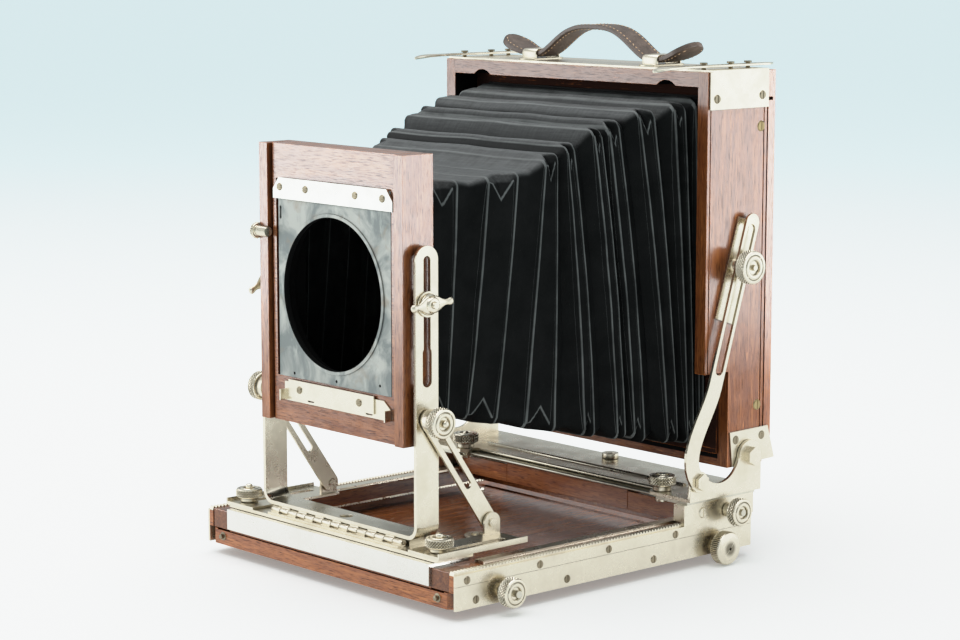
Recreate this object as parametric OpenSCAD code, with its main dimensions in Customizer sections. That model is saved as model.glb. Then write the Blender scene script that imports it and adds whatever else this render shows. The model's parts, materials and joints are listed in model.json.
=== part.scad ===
// Folding wooden view camera: flat bed, hinged front standard, bellows and rear case.
// X runs across the camera, -Y is the lens side, +Y the ground-glass side, +Z is up.
// The origin is the centre of the bed's underside.

/* [Bed] */
// Width of the bed over its side plates
bed_w = 228; // [228:0.5:236]
// Length of the bed, front to back
bed_l = 238; // [236:1:244]
// Pitch of the rack teeth
rack_pitch = 2.4; // [2.4:0.4:4]
// Drop of the tripod block below the bed
block_drop = 6.6; // [6.6:0.2:10]
// Diameter of the tripod thread
tripod_d = 9.5; // [6.4:0.1:9.6]

/* [Front standard] */
// Width of the lens frame
frame_w = 129.6; // [129:0.2:131]
// Bottom of the lens frame
frame_z0 = 83; // [82:0.5:84]
// Top of the lens frame
frame_z1 = 246; // [240:1:252]
// Top of the slotted uprights
upright_top = 196; // [194:1:200]
// Height of the wing-nut axis
pivot_z = 163.5; // [162:0.5:165]
// Width of the lens board
board_w = 101.6; // [100:0.2:103]
// Diameter of the hole in the lens board
lens_hole_d = 88.4; // [60:0.2:90]

/* [Rear case] */
// Width of the case
case_w = 230; // [229:0.5:231]
// Front face of the case
case_y0 = 75.5; // [74:0.5:77]
// Rear face of the case
case_y1 = 126.5; // [126:0.5:127]
// Underside of the case
case_z0 = 50.5; // [50:0.5:51]
// Top of the case
case_z1 = 286.5; // [284:0.5:290]
// Thickness of the case walls
case_wall = 8; // [8:0.5:10]

/* [Knobs] */
// Diameter of the focusing knobs
focus_d = 17; // [14:0.5:18]
// Diameter of the bed lock knobs
lock_d = 20; // [16:0.5:20]
// Diameter of the arm knobs
arm_knob_d = 20; // [16:0.5:22]
// Diameter of the strut knobs
strut_knob_d = 17.5; // [14:0.5:18]

/* [Hidden] */

eps = 0.01;
wood = "#7a3320";
dark_wood = "#3a1a12";
nickel = "#c9c6ba";
brass = "#c9a95c";
black = "#1c1d1f";
leather = "#5a3a2a";

// Bed levels
bx = bed_w / 2;
by = bed_l / 2;
plate_t = 1.5;
wall_x = bx - 5;
wood_x = bx - plate_t;
floor_z = 4;
ledge_z = 9.3;
plate_top = 13.3;
strip_top = 19.6;
rack_top = 21.8;
rail_y = -by + 15;
front_shaft = [-84, 6.4];
lock_shaft = [89, 4];
shaft_r = 2;
pinion_r = 3;
bush_y = 0;

// Extension levels
ext_z0 = 9.6;
ext_z1 = 20.4;
ext_x0 = 97;
ext_x1 = wall_x - 0.3;
ext_back = 100;
ext_top = 23.1;
rack_x0 = 98.5;
rack_x1 = 103.5;

// Front standard levels
swing_z0 = 23.4;
swing_z1 = 25.4;
swing_y = -103;
hinge = [-110.1, 27.5];
knuckle_r = 1.9;
knuckle_half = 3.8;
strap_z0 = 29.8;
strap_z1 = 32.1;
up_x0 = 68.2;
up_x1 = 70.5;
up_y0 = -109.5;
up_y1 = -93.2;
up_c = (up_y0 + up_y1) / 2;
up_r = (up_y1 - up_y0) / 2;
yoke_bend = 8;
clevis = [-57, 34];
strut_stud = [-101.35, 98];
strut_x0 = 71.6;
strut_x1 = 73.4;
lock_x = 87.5;
lock_y = -107.5;
frame_x = frame_w / 2;
frame_y0 = -111.8;
frame_y1 = -92;
panel_x = 57;
panel_y1 = -101.9;
board_x1 = 52;
board_x0 = board_x1 - board_w;
recess_x = 52.2;
panel_gap = 1.8;
board_z0 = 110;
board_z1 = 225.5;
board_y1 = -108.8;
lock_eye = [-115.1, 194];
lens_z = 162.3;

// Rear levels
car_y0 = 60;
car_y1 = 120;
rear_shaft = [97, 25.2];
car_z0 = 32.5;
car_z1 = 34.5;
rsw_z0 = 34.9;
rsw_z1 = 36.9;
rear_bolt_y = 112;
swing_lock = [88.5, 68];
lock_way = [0.445, 0.896];
ear_x0 = 116.4;
ear_x1 = 118.6;
arm_pivot = [67, 47];
case_pivot = [112.5, 56.5];
arm_stud = [101, 172];
arm_x0 = 119.1;
arm_x1 = 120.9;
cx = case_w / 2;
cut_y = 96;
cut_z = 109;
case_in = cx - case_wall;
top_t = 1.2;
side_plate_t = 1;
back_y1 = 134;
back_z = (case_z0 + case_z1) / 2;
strap_y = 100.5;
bar_x = 105;

module box(x, y, z) {
    translate([x[0], y[0], z[0]])
        cube([x[1] - x[0], y[1] - y[0], z[1] - z[0]]);
}

module both() {
    children();
    mirror([1, 0, 0])
        children();
}

module xrod(r, x, p, n = 48) {
    translate([x[0], p[0], p[1]])
        rotate([0, 90, 0])
            cylinder(r = r, h = x[1] - x[0], $fn = n);
}

module yrod(r, y, p, n = 48) {
    translate([p[0], y[1], p[1]])
        rotate([90, 0, 0])
            cylinder(r = r, h = y[1] - y[0], $fn = n);
}

module zrod(r, z, p, n = 48) {
    translate([p[0], p[1], z[0]])
        cylinder(r = r, h = z[1] - z[0], $fn = n);
}

// A flat outline drawn as (y, z), given thickness along X
module side_sheet(x) {
    translate([x[0], 0, 0])
        rotate([90, 0, 90])
            linear_extrude(x[1] - x[0])
                children();
}

// A flat outline drawn as (x, z), given thickness along Y
module front_sheet(y) {
    translate([0, y[1], 0])
        rotate([90, 0, 0])
            linear_extrude(y[1] - y[0])
                children();
}

module slot2d(p, q, w) {
    d = q - p;
    translate(p)
        rotate(atan2(d[1], d[0])) {
            translate([0, -w / 2])
                square([norm(d), w]);
            for (x = [0, norm(d)])
                translate([x, 0])
                    circle(d = w, $fn = 48);
        }
}

function unit(v) = v / norm(v);
function normal_at(p, i) =
    let (a = p[max(i - 1, 0)], b = p[min(i + 1, len(p) - 1)], d = unit(b - a)) [-d[1], d[0]];
// A ribbon of width w along the points p
function ribbon(p, w) = concat(
    [for (i = [0 : len(p) - 1]) p[i] + normal_at(p, i) * w / 2],
    [for (i = [len(p) - 1 : -1 : 0]) p[i] - normal_at(p, i) * w / 2]);
function bezier(a, b, c, d, n) = [for (i = [0 : n]) let (t = i / n, s = 1 - t)
    s * s * s * a + 3 * s * s * t * b + 3 * s * t * t * c + t * t * t * d];

// A slotted screw along +Z: head above zero, shank below
module slotted(head_r, head_h, shank_r, shank_l) {
    difference() {
        union() {
            cylinder(r1 = head_r, r2 = head_r * 0.8, h = head_h, $fn = 32);
            translate([0, 0, -shank_l])
                cylinder(r = shank_r, h = shank_l + eps, $fn = 24);
        }
        translate([-head_r, -0.3, head_h * 0.45])
            cube([2 * head_r, 0.6, head_h]);
    }
}

// A knurled knob along +Z with a neck, a chamfered rim and a dished face
module knob(r, h, neck_r, neck_h, bore_r) {
    rotate_extrude($fn = 64)
        polygon([[bore_r, 0], [neck_r, 0], [neck_r, neck_h], [r - 0.9, neck_h],
            [r, neck_h + 0.9], [r, neck_h + h - 0.9], [r - 0.9, neck_h + h],
            [r * 0.62, neck_h + h], [r * 0.55, neck_h + h - 0.8], [bore_r, neck_h + h - 0.8]]);
}

// ---- Bed ----

function lower_screws() = [[-104, 4.5], [-34.7, 4.5], [35.2, 4.5]];
function upper_screws() = [[-110.5, 16.4], [-55.8, 16.4], [-1.6, 16.4], [53.4, 16.4], [104, 16.4]];

module bed_screw_places() {
    both()
        for (p = concat(lower_screws(), upper_screws()))
            translate([bx, p[0], p[1]])
                rotate([0, 90, 0])
                    children();
}

module bed_tray() {
    color(wood)
        difference() {
            union() {
                box([-wall_x, wall_x], [rail_y, by - 18], [0, floor_z]);
                box([-wall_x, wall_x], [-by, rail_y], [0, 8.6]);
                box([-wall_x, wall_x], [by - 19, by], [0, floor_z + 0.9]);
                both() {
                    box([104.5, wall_x], [-by, by], [0, ledge_z]);
                    box([wall_x, wood_x], [-by, by], [0, strip_top]);
                }
            }
            xrod(2.4, [-bed_w, bed_w], front_shaft);
            both() {
                xrod(2.4, [95, bed_w], lock_shaft);
                box([95, wall_x + 1], [lock_shaft[0] - 2.6, lock_shaft[0] + 2.6], [1.4, 12]);
                box([97.5, 104.6], [-88.5, -79.5], [2.8, 12]);
                translate([wood_x, -by, -1])
                    rotate([0, 0, 45])
                        cube([8, 8, 22], center = true);
            }
            zrod(7.05, [-1, floor_z + 1], [0, bush_y]);
            bed_screw_places()
                translate([0, 0, -7])
                    cylinder(r = 1.25, h = 9, $fn = 24);
        }
}

module side_plates() {
    color(nickel)
        difference() {
            both()
                box([wood_x, bx], [-by, by], [0, plate_top]);
            xrod(2.5, [-bed_w, bed_w], front_shaft);
            xrod(2.5, [-bed_w, bed_w], lock_shaft);
            bed_screw_places()
                translate([0, 0, -7])
                    cylinder(r = 1.25, h = 9, $fn = 24);
        }
}

module rack_teeth(length, pitch, depth, base) {
    n = floor(length / pitch);
    polygon(concat([[0, -base]],
        [for (i = [0 : n - 1], k = [0 : 3])
            [(i + [0.1, 0.3, 0.6, 0.8][k]) * pitch, [0, depth, depth, 0][k]]],
        [[n * pitch, 0], [n * pitch, -base]]));
}

module rack_strips() {
    color(nickel)
        difference() {
            both() {
                box([wood_x, bx], [-by, by], [plate_top + 0.2, strip_top]);
                box([wall_x, bx], [-by, by], [strip_top, strip_top + 0.3]);
                translate([0, -by, strip_top + 1.3])
                    side_sheet([wall_x, wood_x])
                        rack_teeth(bed_l, rack_pitch, rack_top - strip_top - 1.3, 1);
            }
            bed_screw_places()
                translate([0, 0, -7])
                    cylinder(r = 1.25, h = 9, $fn = 24);
        }
}

module bed_screws() {
    color(nickel)
        bed_screw_places()
            slotted(2.4, 0.6, 1.2, 4.5);
}

module tripod_block() {
    color(dark_wood)
        difference() {
            box([-75, 75], [-70, 80], [-block_drop, 0]);
            zrod(7.05, [-block_drop - 1, 1], [0, bush_y]);
        }
}

module tripod_bush() {
    color(nickel)
        difference() {
            union() {
                zrod(7, [-block_drop, floor_z], [0, bush_y]);
                zrod(8.6, [floor_z, floor_z + 1.2], [0, bush_y]);
            }
            zrod(tripod_d / 2, [-block_drop - 1, floor_z + 3], [0, bush_y]);
        }
}

module side_knobs(p, r, h, neck_r, neck_h, x0) {
    both()
        translate([x0, p[0], p[1]])
            rotate([0, 90, 0])
                knob(r, h, neck_r, neck_h, shaft_r + 0.02);
}

module bed_lock_knobs() {
    color(nickel) {
        both()
            xrod(shaft_r, [96, 124], lock_shaft);
        side_knobs(lock_shaft, lock_d / 2, 7, 5, 2.6, bx + 0.7);
    }
}

// ---- Extension ----

module extension_frame() {
    color(wood)
        union() {
            both() {
                box([ext_x0, ext_x1], [rail_y, ext_back], [11.2, ext_z1]);
                box([104.8, ext_x1], [rail_y, ext_back], [ext_z0, 11.3]);
            }
            box([-93, 93], [-by + 0.5, rail_y], [ext_z0 - 0.6, ext_z1]);
            box([-ext_x0, ext_x0], [88, ext_back], [11.2, 18]);
        }
}

module extension_blocks() {
    color(dark_wood)
        both()
            box([93, ext_x1], [-by + 0.5, rail_y], [ext_z0, 21]);
}

module extension_plate() {
    color(nickel) {
        box([-93, 93], [-120.3, -by + 0.5], [10.7, ext_top]);
        box([-93, 93], [-by + 0.4, -90], [ext_z1, ext_top]);
        zrod(1.8, [ext_top - 1, 28], [0, swing_y]);
    }
}

module extension_strips() {
    color(nickel)
        both()
            box([97.3, 104.3], [-90, 98], [ext_z1, 22]);
}

module extension_racks() {
    color(nickel)
        both()
            translate([0, ext_back, 10.5])
                rotate([180, 0, 0])
                    side_sheet([rack_x0, rack_x1])
                        rack_teeth(ext_back - rail_y, rack_pitch, 0.9, 0.7);
}

module pinion(p, x) {
    teeth = 8;
    side_sheet(x)
        translate(p)
            polygon([for (i = [0 : teeth - 1], k = [0 : 3])
                let (a = (i + [0, 0.25, 0.5, 0.75][k]) * 360 / teeth,
                    r = [pinion_r - 0.8, pinion_r, pinion_r, pinion_r - 0.8][k])
                [r * cos(a), r * sin(a)]]);
}

module front_pinion() {
    color(nickel) {
        xrod(shaft_r, [-127.5, 127.5], front_shaft);
        both()
            pinion(front_shaft, [98.7, 103.3]);
    }
}

module front_focus_knobs() {
    color(nickel)
        side_knobs(front_shaft, focus_d / 2, 7, 4.2, 3.6, bx + 0.5);
}

// ---- Front standard ----

module swing_plate() {
    color(nickel)
        difference() {
            union() {
                box([-96, 96], [-116, -90], [swing_z0, swing_z1]);
                box([-60, 60], [-106, -94], [swing_z1, strap_z0 - 0.3]);
                box([-60, 60], [hinge[0] - 4.4, hinge[0] - 2.3], [swing_z1 - 0.1, swing_z1 + 1]);
                for (x = [-56 : 16 : 56]) {
                    xrod(knuckle_r, [x - knuckle_half, x + knuckle_half], hinge, 32);
                    box([x - knuckle_half, x + knuckle_half], [hinge[0] - 2.4, hinge[0]],
                        [swing_z1 - 0.1, swing_z1 + 1.4]);
                }
            }
            xrod(1, [-80, 80], hinge, 24);
            zrod(1.95, [20, 40], [0, swing_y]);
            both()
                zrod(2.2, [20, 40], [lock_x, lock_y]);
        }
}

module hinge_pin() {
    color(nickel) {
        xrod(0.9, [-61, 61], hinge, 24);
    }
}

module bracket_screws() {
    color(nickel)
        both()
            translate([lock_x, lock_y, 0]) {
                zrod(2.15, [swing_z0, 38], [0, 0]);
                translate([0, 0, 27.5])
                    knob(8, 5.5, 5.5, 2.4, 2.1);
            }
}

module strut_brackets() {
    color(nickel)
        both() {
            difference() {
                union() {
                    box([71.6, 98], [-117, -50.5], [25.6, 27.1]);
                    box([96.8, 98], [-117, -50.5], [27, 29]);
                    side_sheet([73.8, 75.4])
                        translate([clevis[0], 25.6])
                            union() {
                                translate([-6, 0])
                                    square([12, clevis[1] - 25.6]);
                                translate([0, clevis[1] - 25.6])
                                    circle(r = 6, $fn = 48);
                            }
                }
                translate([0, 0, 20])
                    linear_extrude(12)
                        slot2d([lock_x, -111], [lock_x, -61], 5);
            }
            xrod(1.6, [70.6, 76.6], clevis, 32);
            xrod(2.6, [75.4, 76.4], clevis, 32);
        }
}

module upright() {
    difference() {
        side_sheet([up_x0, up_x1])
            difference() {
                union() {
                    translate([up_y0, strap_z0 + yoke_bend])
                        square([up_y1 - up_y0, upright_top - up_r - strap_z0 - yoke_bend]);
                    translate([up_c, upright_top - up_r])
                        circle(r = up_r, $fn = 64);
                }
                slot2d([up_c, 120], [up_c, 136], 6.6);
                slot2d([up_c, 120], [up_c, upright_top - 8.2], 5);
            }
        xrod(2.3, [60, 80], strut_stud);
    }
}

// The bend that joins an upright to the foot: a quarter ring
module upright_bend() {
    centre = [up_x1 - yoke_bend, strap_z0 + yoke_bend];
    intersection() {
        difference() {
            yrod(yoke_bend, [up_y0, up_y1], centre, 96);
            yrod(yoke_bend - strap_z1 + strap_z0, [up_y0 - 1, up_y1 + 1], centre, 96);
        }
        box([centre[0], up_x1 + 1], [up_y0 - 2, up_y1 + 2], [strap_z0 - 1, centre[1]]);
    }
}

module yoke() {
    foot_x = up_x1 - yoke_bend;
    color(nickel)
        difference() {
            union() {
                both() {
                    upright();
                    upright_bend();
                }
                box([-foot_x, foot_x], [up_y0, up_y1], [strap_z0, strap_z1]);
                for (x = [-48 : 16 : 48]) {
                    xrod(knuckle_r, [x - knuckle_half, x + knuckle_half], hinge, 32);
                    box([x - knuckle_half, x + knuckle_half], [hinge[0] - 0.2, up_y0 + 0.9],
                        [hinge[1], strap_z0 + 0.4]);
                }
            }
            xrod(1, [-80, 80], hinge, 24);
            zrod(4, [20, 40], [0, swing_y]);
        }
}

module struts() {
    d = strut_stud - clevis;
    u = unit(d);
    color(nickel)
        both() {
            difference() {
                side_sheet([strut_x0, strut_x1])
                    difference() {
                        slot2d(clevis, strut_stud + u * 1, 11);
                        slot2d(clevis + u * 29, strut_stud - u * 11, 4.6);
                    }
                xrod(1.75, [60, 80], clevis, 32);
                xrod(2.3, [60, 80], strut_stud, 32);
            }
        }
}

module strut_knobs() {
    color(nickel)
        both() {
            xrod(2.1, [71.2, 90], strut_stud);
            translate([strut_x1 + 0.3, strut_stud[0], strut_stud[1]])
                rotate([0, 90, 0])
                    knob(strut_knob_d / 2, 6.5, 7, 5, 2.05);
        }
}

module pivot_studs() {
    color(nickel)
        both() {
            xrod(1.95, [59, 78.9], [up_c, pivot_z]);
            xrod(6.5, [65.9, 67.9], [up_c, pivot_z]);
            xrod(7.3, [70.8, 71.9], [up_c, pivot_z]);
        }
}

module wing_nut(turn) {
    wing = [cos(turn), sin(turn)];
    difference() {
        union() {
            translate([72.2, up_c, pivot_z])
                rotate([0, 90, 0])
                    cylinder(r1 = 6.2, r2 = 4.2, h = 4.6, $fn = 48);
            side_sheet([73.6, 75.4])
                translate([up_c, pivot_z])
                    slot2d(-13 * wing, 13 * wing, 4.4);
            for (s = [-1, 1])
                xrod(2.7, [73, 76.6], [up_c, pivot_z] + s * 12.6 * wing, 32);
        }
        xrod(2.05, [60, 90], [up_c, pivot_z]);
    }
}

module wing_nut_right() {
    color(nickel)
        wing_nut(4);
}

module wing_nut_left() {
    color(nickel)
        mirror([1, 0, 0])
            wing_nut(-28);
}

module lens_frame() {
    color(wood)
        difference() {
            union() {
                box([-frame_x, frame_x], [panel_y1 + 0.3, frame_y1], [frame_z0, frame_z1]);
                both()
                    box([panel_x + 0.2, frame_x], [frame_y0 - 2.4, frame_y1], [frame_z0, frame_z1]);
            }
            box([-50, 50], [-110, -80], [lens_z - 52, lens_z + 52]);
            both()
                xrod(2.25, [55, 70], [up_c, pivot_z]);
            mirror([1, 0, 0])
                xrod(3.3, [55, 70], lock_eye, 32);
        }
}

module panel_lock_knob() {
    color(brass)
        mirror([1, 0, 0]) {
            xrod(3.1, [panel_x - panel_gap + 0.3, frame_x + 0.2], lock_eye, 32);
            translate([frame_x + 0.15, lock_eye[0], lock_eye[1]])
                rotate([0, 90, 0])
                    knob(4.8, 2.8, 3.1, 0.1, 1);
            xrod(1.2, [frame_x, frame_x + 3], lock_eye, 32);
        }
}

module board_hole() {
    yrod(47.5, [-130, -80], [0, lens_z], 96);
}

function clip_screws() = [[-46.5, 221], [-22.5, 221], [22.5, 221], [46.5, 221]];
function latch_screws() = [[-29.6, 103.4], [25, 103.4]];

module panel_screw_places() {
    for (p = concat(clip_screws(), latch_screws()))
        translate([p[0], 0, p[1]])
            children();
}

module lens_panel() {
    color(wood)
        difference() {
            box([panel_gap - panel_x, panel_x], [frame_y0 + 0.2, panel_y1], [frame_z0, frame_z1]);
            box([-recess_x, recess_x], [-115, board_y1 + 0.05],
                [board_z0 - 0.2, board_z1 + 0.2]);
            board_hole();
            panel_screw_places()
                yrod(1.3, [-116, -104], [0, 0], 24);
        }
}

module board_clip() {
    color(nickel)
        difference() {
            front_sheet([-113.4, frame_y0 - 0.1])
                polygon([[-47.5, 226.4], [-52.8, 219.8], [-52.8, 214.2],
                    [55.2, 214.2], [55.2, 219.8], [49.9, 226.4]]);
            panel_screw_places()
                yrod(1.3, [-116, -104], [0, 0], 24);
        }
}

module lens_board() {
    color("#8b9096")
        difference() {
            union() {
                box([board_x0, board_x1], [frame_y0 - 0.1, board_y1], [board_z0, board_z1]);
                yrod(46.2, [-112.6, board_y1], [0, lens_z], 96);
            }
            yrod(lens_hole_d / 2, [-130, -80], [0, lens_z], 96);
            front_sheet([-116, -104])
                slot2d([board_x0 + 1.9, 203], [board_x0 + 1.9, 209], 1.8);
            front_sheet([-116, -104])
                for (p = [[-36, 112.5], [3, 112.5], [42, 115]])
                    translate(p)
                        circle(r = 0.9, $fn = 24);
            panel_screw_places()
                yrod(1.3, [-116, -104], [0, 0], 24);
        }
}

module panel_screws() {
    color(nickel)
        panel_screw_places()
            translate([0, -113.4, 0])
                rotate([90, 0, 0])
                    slotted(2.3, 0.8, 1.2, 8);
}

module board_latch() {
    color(nickel)
        union() {
            front_sheet([-112.5, frame_y0 + 0.1])
                difference() {
                    polygon([[-44.5, 96], [51.8, 96], [51.8, 102.5], [46, 107], [-44.5, 107]]);
                    for (p = latch_screws())
                        slot2d([p[0] - 3, p[1]], [p[0] + 4, p[1]], 2.7);
                    for (x = [-20, 33])
                        slot2d([x - 2, 98.4], [x + 2, 98.4], 2.4);
                }
            for (x = [-44.5, 50.8])
                box([x, x + 1], [-116.6, frame_y0 + 0.1], [96, 102.5]);
        }
}

module latch_cover() {
    color(nickel)
        difference() {
            box([-40, 38], [-113.4, -112.6], [98.4, 108.6]);
            panel_screw_places()
                yrod(1.3, [-116, -104], [0, 0], 24);
        }
}

// ---- Rear carriage ----

module carriage_blocks() {
    color(nickel)
        difference() {
            both() {
                box([112.6, 114.6], [car_y0, car_y1], [strip_top + 0.5, car_z0]);
                box([106, 112.7], [car_y0, car_y1], [22.4, car_z0]);
            }
            xrod(2.3, [-bed_w, bed_w], rear_shaft);
            both() {
                box([108.6, 112.6], [rear_shaft[0] - 4.2, rear_shaft[0] + 4.2], [20, 29.6]);
                xrod(1.3, [108, 120], [75.7, 26.4], 24);
            }
            both()
                for (y = [70, 112])
                    zrod(1.3, [25, 36], [109, y], 24);
        }
}

module carriage_bar() {
    color(wood)
        box([-54.5, 54.5], [73, 85], [18.5, car_z0 - 0.2]);
}

module carriage_plate() {
    color(nickel)
        difference() {
            union() {
                box([-114.6, 114.6], [68, 121], [car_z0, car_z1]);
                both()
                    box([84, 114.6], [62.4, 68.1], [car_z0, car_z1]);
                xrod(1, [-83, 83], [68, (car_z0 + car_z1) / 2], 32);
            }
            zrod(2.6, [20, 60], [0, rear_bolt_y]);
            both() {
                translate([0, 0, 30])
                    linear_extrude(12)
                        slot2d(swing_lock - 12 * lock_way, swing_lock + 12 * lock_way, 5.8);
                for (y = [70, 112])
                    zrod(1.3, [25, 36], [109, y], 24);
            }
        }
}

module carriage_bolts() {
    color(nickel) {
        zrod(2.5, [car_z0, 41], [0, rear_bolt_y]);
        zrod(5.3, [rsw_z1 + 0.2, 40.6], [0, rear_bolt_y]);
        both()
            translate([114.6, 75.7, 26.4])
                rotate([0, 90, 0])
                    slotted(3.4, 0.8, 1.2, 4);
    }
}

module rear_pinion() {
    color(nickel) {
        xrod(shaft_r, [-128, 128], rear_shaft);
        both()
            pinion(rear_shaft, [109.2, 112.2]);
    }
}

module rear_focus_knobs() {
    color(nickel)
        side_knobs(rear_shaft, focus_d / 2, 6.4, 4.4, 6.4, 114.9);
}

module ear_outline() {
    difference() {
        union() {
            polygon([[60.5, rsw_z0], [122, rsw_z0], [122, case_pivot[1]],
                [case_pivot[0] - 9.4, case_pivot[1]], [96, 50], [72, 47],
                [arm_pivot[0] - 6, arm_pivot[1]]]);
            translate(arm_pivot)
                circle(r = 6, $fn = 64);
            translate(case_pivot)
                circle(r = 9.5, $fn = 64);
        }
        translate([86, 60.4])
            circle(r = 17, $fn = 96);
    }
}

module rear_swing_plate() {
    color(nickel)
        difference() {
            union() {
                box([-88, 88], [72.5, 122], [rsw_z0, rsw_z1]);
                xrod(1, [-79, 79], [72.5, (rsw_z0 + rsw_z1) / 2], 32);
                xrod(1.5, [-88, 88], [88, rsw_z1 - 0.3], 32);
                both() {
                    translate([0, 0, rsw_z0])
                        linear_extrude(rsw_z1 - rsw_z0)
                            polygon([[82, 73], [82, 64.5], [85.5, 60.5], [ear_x1, 60.5],
                                [ear_x1, 122], [87.9, 122], [87.9, 73]]);
                    side_sheet([ear_x0, ear_x1])
                        ear_outline();
                }
            }
            zrod(2.7, [30, 60], [0, rear_bolt_y]);
            zrod(1.1, [rsw_z1 - 0.8, 60], [7, 103], 24);
            both() {
                zrod(2.2, [30, 60], swing_lock);
                xrod(2.2, [100, 130], arm_pivot);
                xrod(2.75, [100, 130], case_pivot);
            }
        }
}

module swing_lock() {
    translate([swing_lock[0], swing_lock[1], 0]) {
        zrod(2.1, [30.4, 47.5], [0, 0]);
        zrod(4.2, [30.4, 32.2], [0, 0]);
        translate([0, 0, rsw_z1 + 0.25])
            knob(8.3, 6, 5.6, 3.2, 2.05);
    }
}

module swing_lock_right() {
    color(nickel)
        swing_lock();
}

module swing_lock_left() {
    color(nickel)
        mirror([1, 0, 0])
            swing_lock();
}

module pivot_bolts() {
    color(nickel)
        both() {
            xrod(2.5, [106, 122.5], case_pivot);
            xrod(5.6, [ear_x1, 122.6], case_pivot, 6);
            xrod(2.15, [ear_x0, 123.5], arm_pivot);
            xrod(5, [arm_x1 + 0.2, 123.4], arm_pivot, 6);
        }
}

// ---- Rear case ----

function corner_screws() = [[82, 271], [121, 272]];
function plate_screws() = [[102.2, 66.9], [125, 67.2]];
function side_brass() = [[121.5, 253.5], [121.5, 86]];

module case_side_places(list) {
    both()
        for (p = list)
            translate([cx, p[0], p[1]])
                rotate([0, 90, 0])
                    children();
}

module case_frame() {
    color(wood)
        difference() {
            box([-cx, cx], [case_y0, case_y1], [case_z0, case_z1]);
            box([-case_in, case_in], [case_y0 - 5, case_y1 + 5],
                [case_z0 + 8, case_z1 - case_wall - 0.6]);
            both()
                yrod(11, [case_y0 - 1, case_y0 + 10], [81, case_z1 - case_wall - 8.4], 64);
            box([-cx - 1, cx + 1], [case_y0 - 5, cut_y], [case_z0 - 5, cut_z]);
            both()
                for (y = [case_y0 + 2, case_y1 - 3])
                    box([cx - 0.7, cx + 1], [y, y + 0.9], [case_z0 - 1, case_z1 + 1]);
            xrod(2.75, [-cx - 1, -105], case_pivot);
            xrod(2.75, [105, cx + 1], case_pivot);
            case_side_places(concat(corner_screws(), plate_screws(), side_brass()))
                translate([0, 0, -7])
                    cylinder(r = 1.25, h = 9, $fn = 24);
        }
}

module case_top_plate() {
    color(nickel)
        difference() {
            union() {
                box([-cx - top_t, cx + top_t], [case_y0 + 3, case_y1], [case_z1, case_z1 + top_t]);
                both()
                    box([cx, cx + top_t], [case_y0 + 1, case_y1], [264.8, case_z1 + 0.1]);
            }
            case_side_places(corner_screws())
                translate([0, 0, -7])
                    cylinder(r = 1.25, h = 9, $fn = 24);
        }
}

module case_side_plates() {
    color(nickel) {
        difference() {
            both()
                side_sheet([cx, cx + side_plate_t])
                    polygon([[97.2, 71.8], [130.5, 72.4], [136.6, 52.2], [99.5, 51]]);
            xrod(2.8, [-130, 130], case_pivot);
            case_side_places(plate_screws())
                translate([0, 0, -7])
                    cylinder(r = 1.25, h = 9, $fn = 24);
        }
        both() {
            side_sheet([cx, cx + 1.2])
                translate(arm_stud)
                    rotate(-18)
                        translate([-8, -34])
                            square([16, 62]);
            xrod(5.5, [cx + 1.2, arm_x0 - 0.3], arm_stud);
            xrod(1.7, [cx + 1.2, 131], arm_stud);
        }
    }
}

module case_screws() {
    color(nickel) {
        case_side_places(corner_screws())
            translate([0, 0, top_t])
                slotted(2.7, 0.7, 1.2, 6);
        case_side_places(plate_screws())
            translate([0, 0, side_plate_t])
                slotted(2.7, 0.35, 1.2, 6);
        both()
            for (y = [82, 105, 120]) {
                zrod(1.3, [case_z1 + top_t, 291.6], [bar_x, y], 24);
                zrod(2.3, [290.7, 291.8], [bar_x, y], 32);
            }
    }
}

module brass_screws() {
    color(brass)
        case_side_places(side_brass())
            slotted(3.3, 0.5, 1.2, 6);
}

module tilt_arms() {
    line_a = [78.9, 102.5];
    line_b = [109.2, 197.2];
    u = unit(line_b - line_a);
    path = concat(
        bezier(arm_pivot + [0.8, -2], [47, 61], line_a - u * 19, line_a, 14),
        [line_b]);
    color(nickel)
        both()
            difference() {
                side_sheet([arm_x0, arm_x1])
                    difference() {
                        union() {
                            polygon(ribbon(path, 11));
                            translate(line_b)
                                circle(d = 11.02, $fn = 64);
                            translate(arm_pivot)
                                circle(r = 6.2, $fn = 64);
                        }
                        slot2d(line_a + u * 10, line_b - u * 4, 6.4);
                    }
                xrod(2.3, [110, 130], arm_pivot);
            }
}

module arm_knobs() {
    color(nickel)
        both()
            translate([arm_x1 + 0.3, arm_stud[0], arm_stud[1]])
                rotate([0, 90, 0])
                    knob(arm_knob_d / 2, 7, 6, 2, 1.8);
}

module back_frame() {
    color(wood)
        difference() {
            union() {
                box([-cx + 2.3, cx - 2.3], [case_y1 + 0.3, case_y1 + 2], [case_z0 + 2, case_z1]);
                box([-cx + 0.3, cx - 0.3], [case_y1 + 1.5, back_y1], [case_z0 + 2, case_z1]);
                both()
                    for (s = [-1, 1])
                        yrod(2, [back_y1, 151], [96, back_z + s * 83], 32);
            }
            box([-89, 89], [case_y1 - 1, back_y1 + 1], [back_z - 63.5, back_z + 63.5]);
            both()
                box([cx - 2.5, cx + 1], [case_y1 - 1, back_y1 - 2], [268.5, 270.5]);
        }
}

module glass_frame() {
    color(wood)
        difference() {
            box([-102, 102], [back_y1 + 0.3, 141], [back_z - 77, back_z + 77]);
            box([-90, 90], [back_y1 - 1, 142], [back_z - 64.5, back_z + 64.5]);
            box([-93.1, 93.1], [back_y1 + 2.9, 138.2], [back_z - 67.6, back_z + 67.6]);
        }
}

module ground_glass() {
    color("#dfe6e6")
        box([-93, 93], [back_y1 + 3, 138], [back_z - 67.5, back_z + 67.5]);
}

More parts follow.
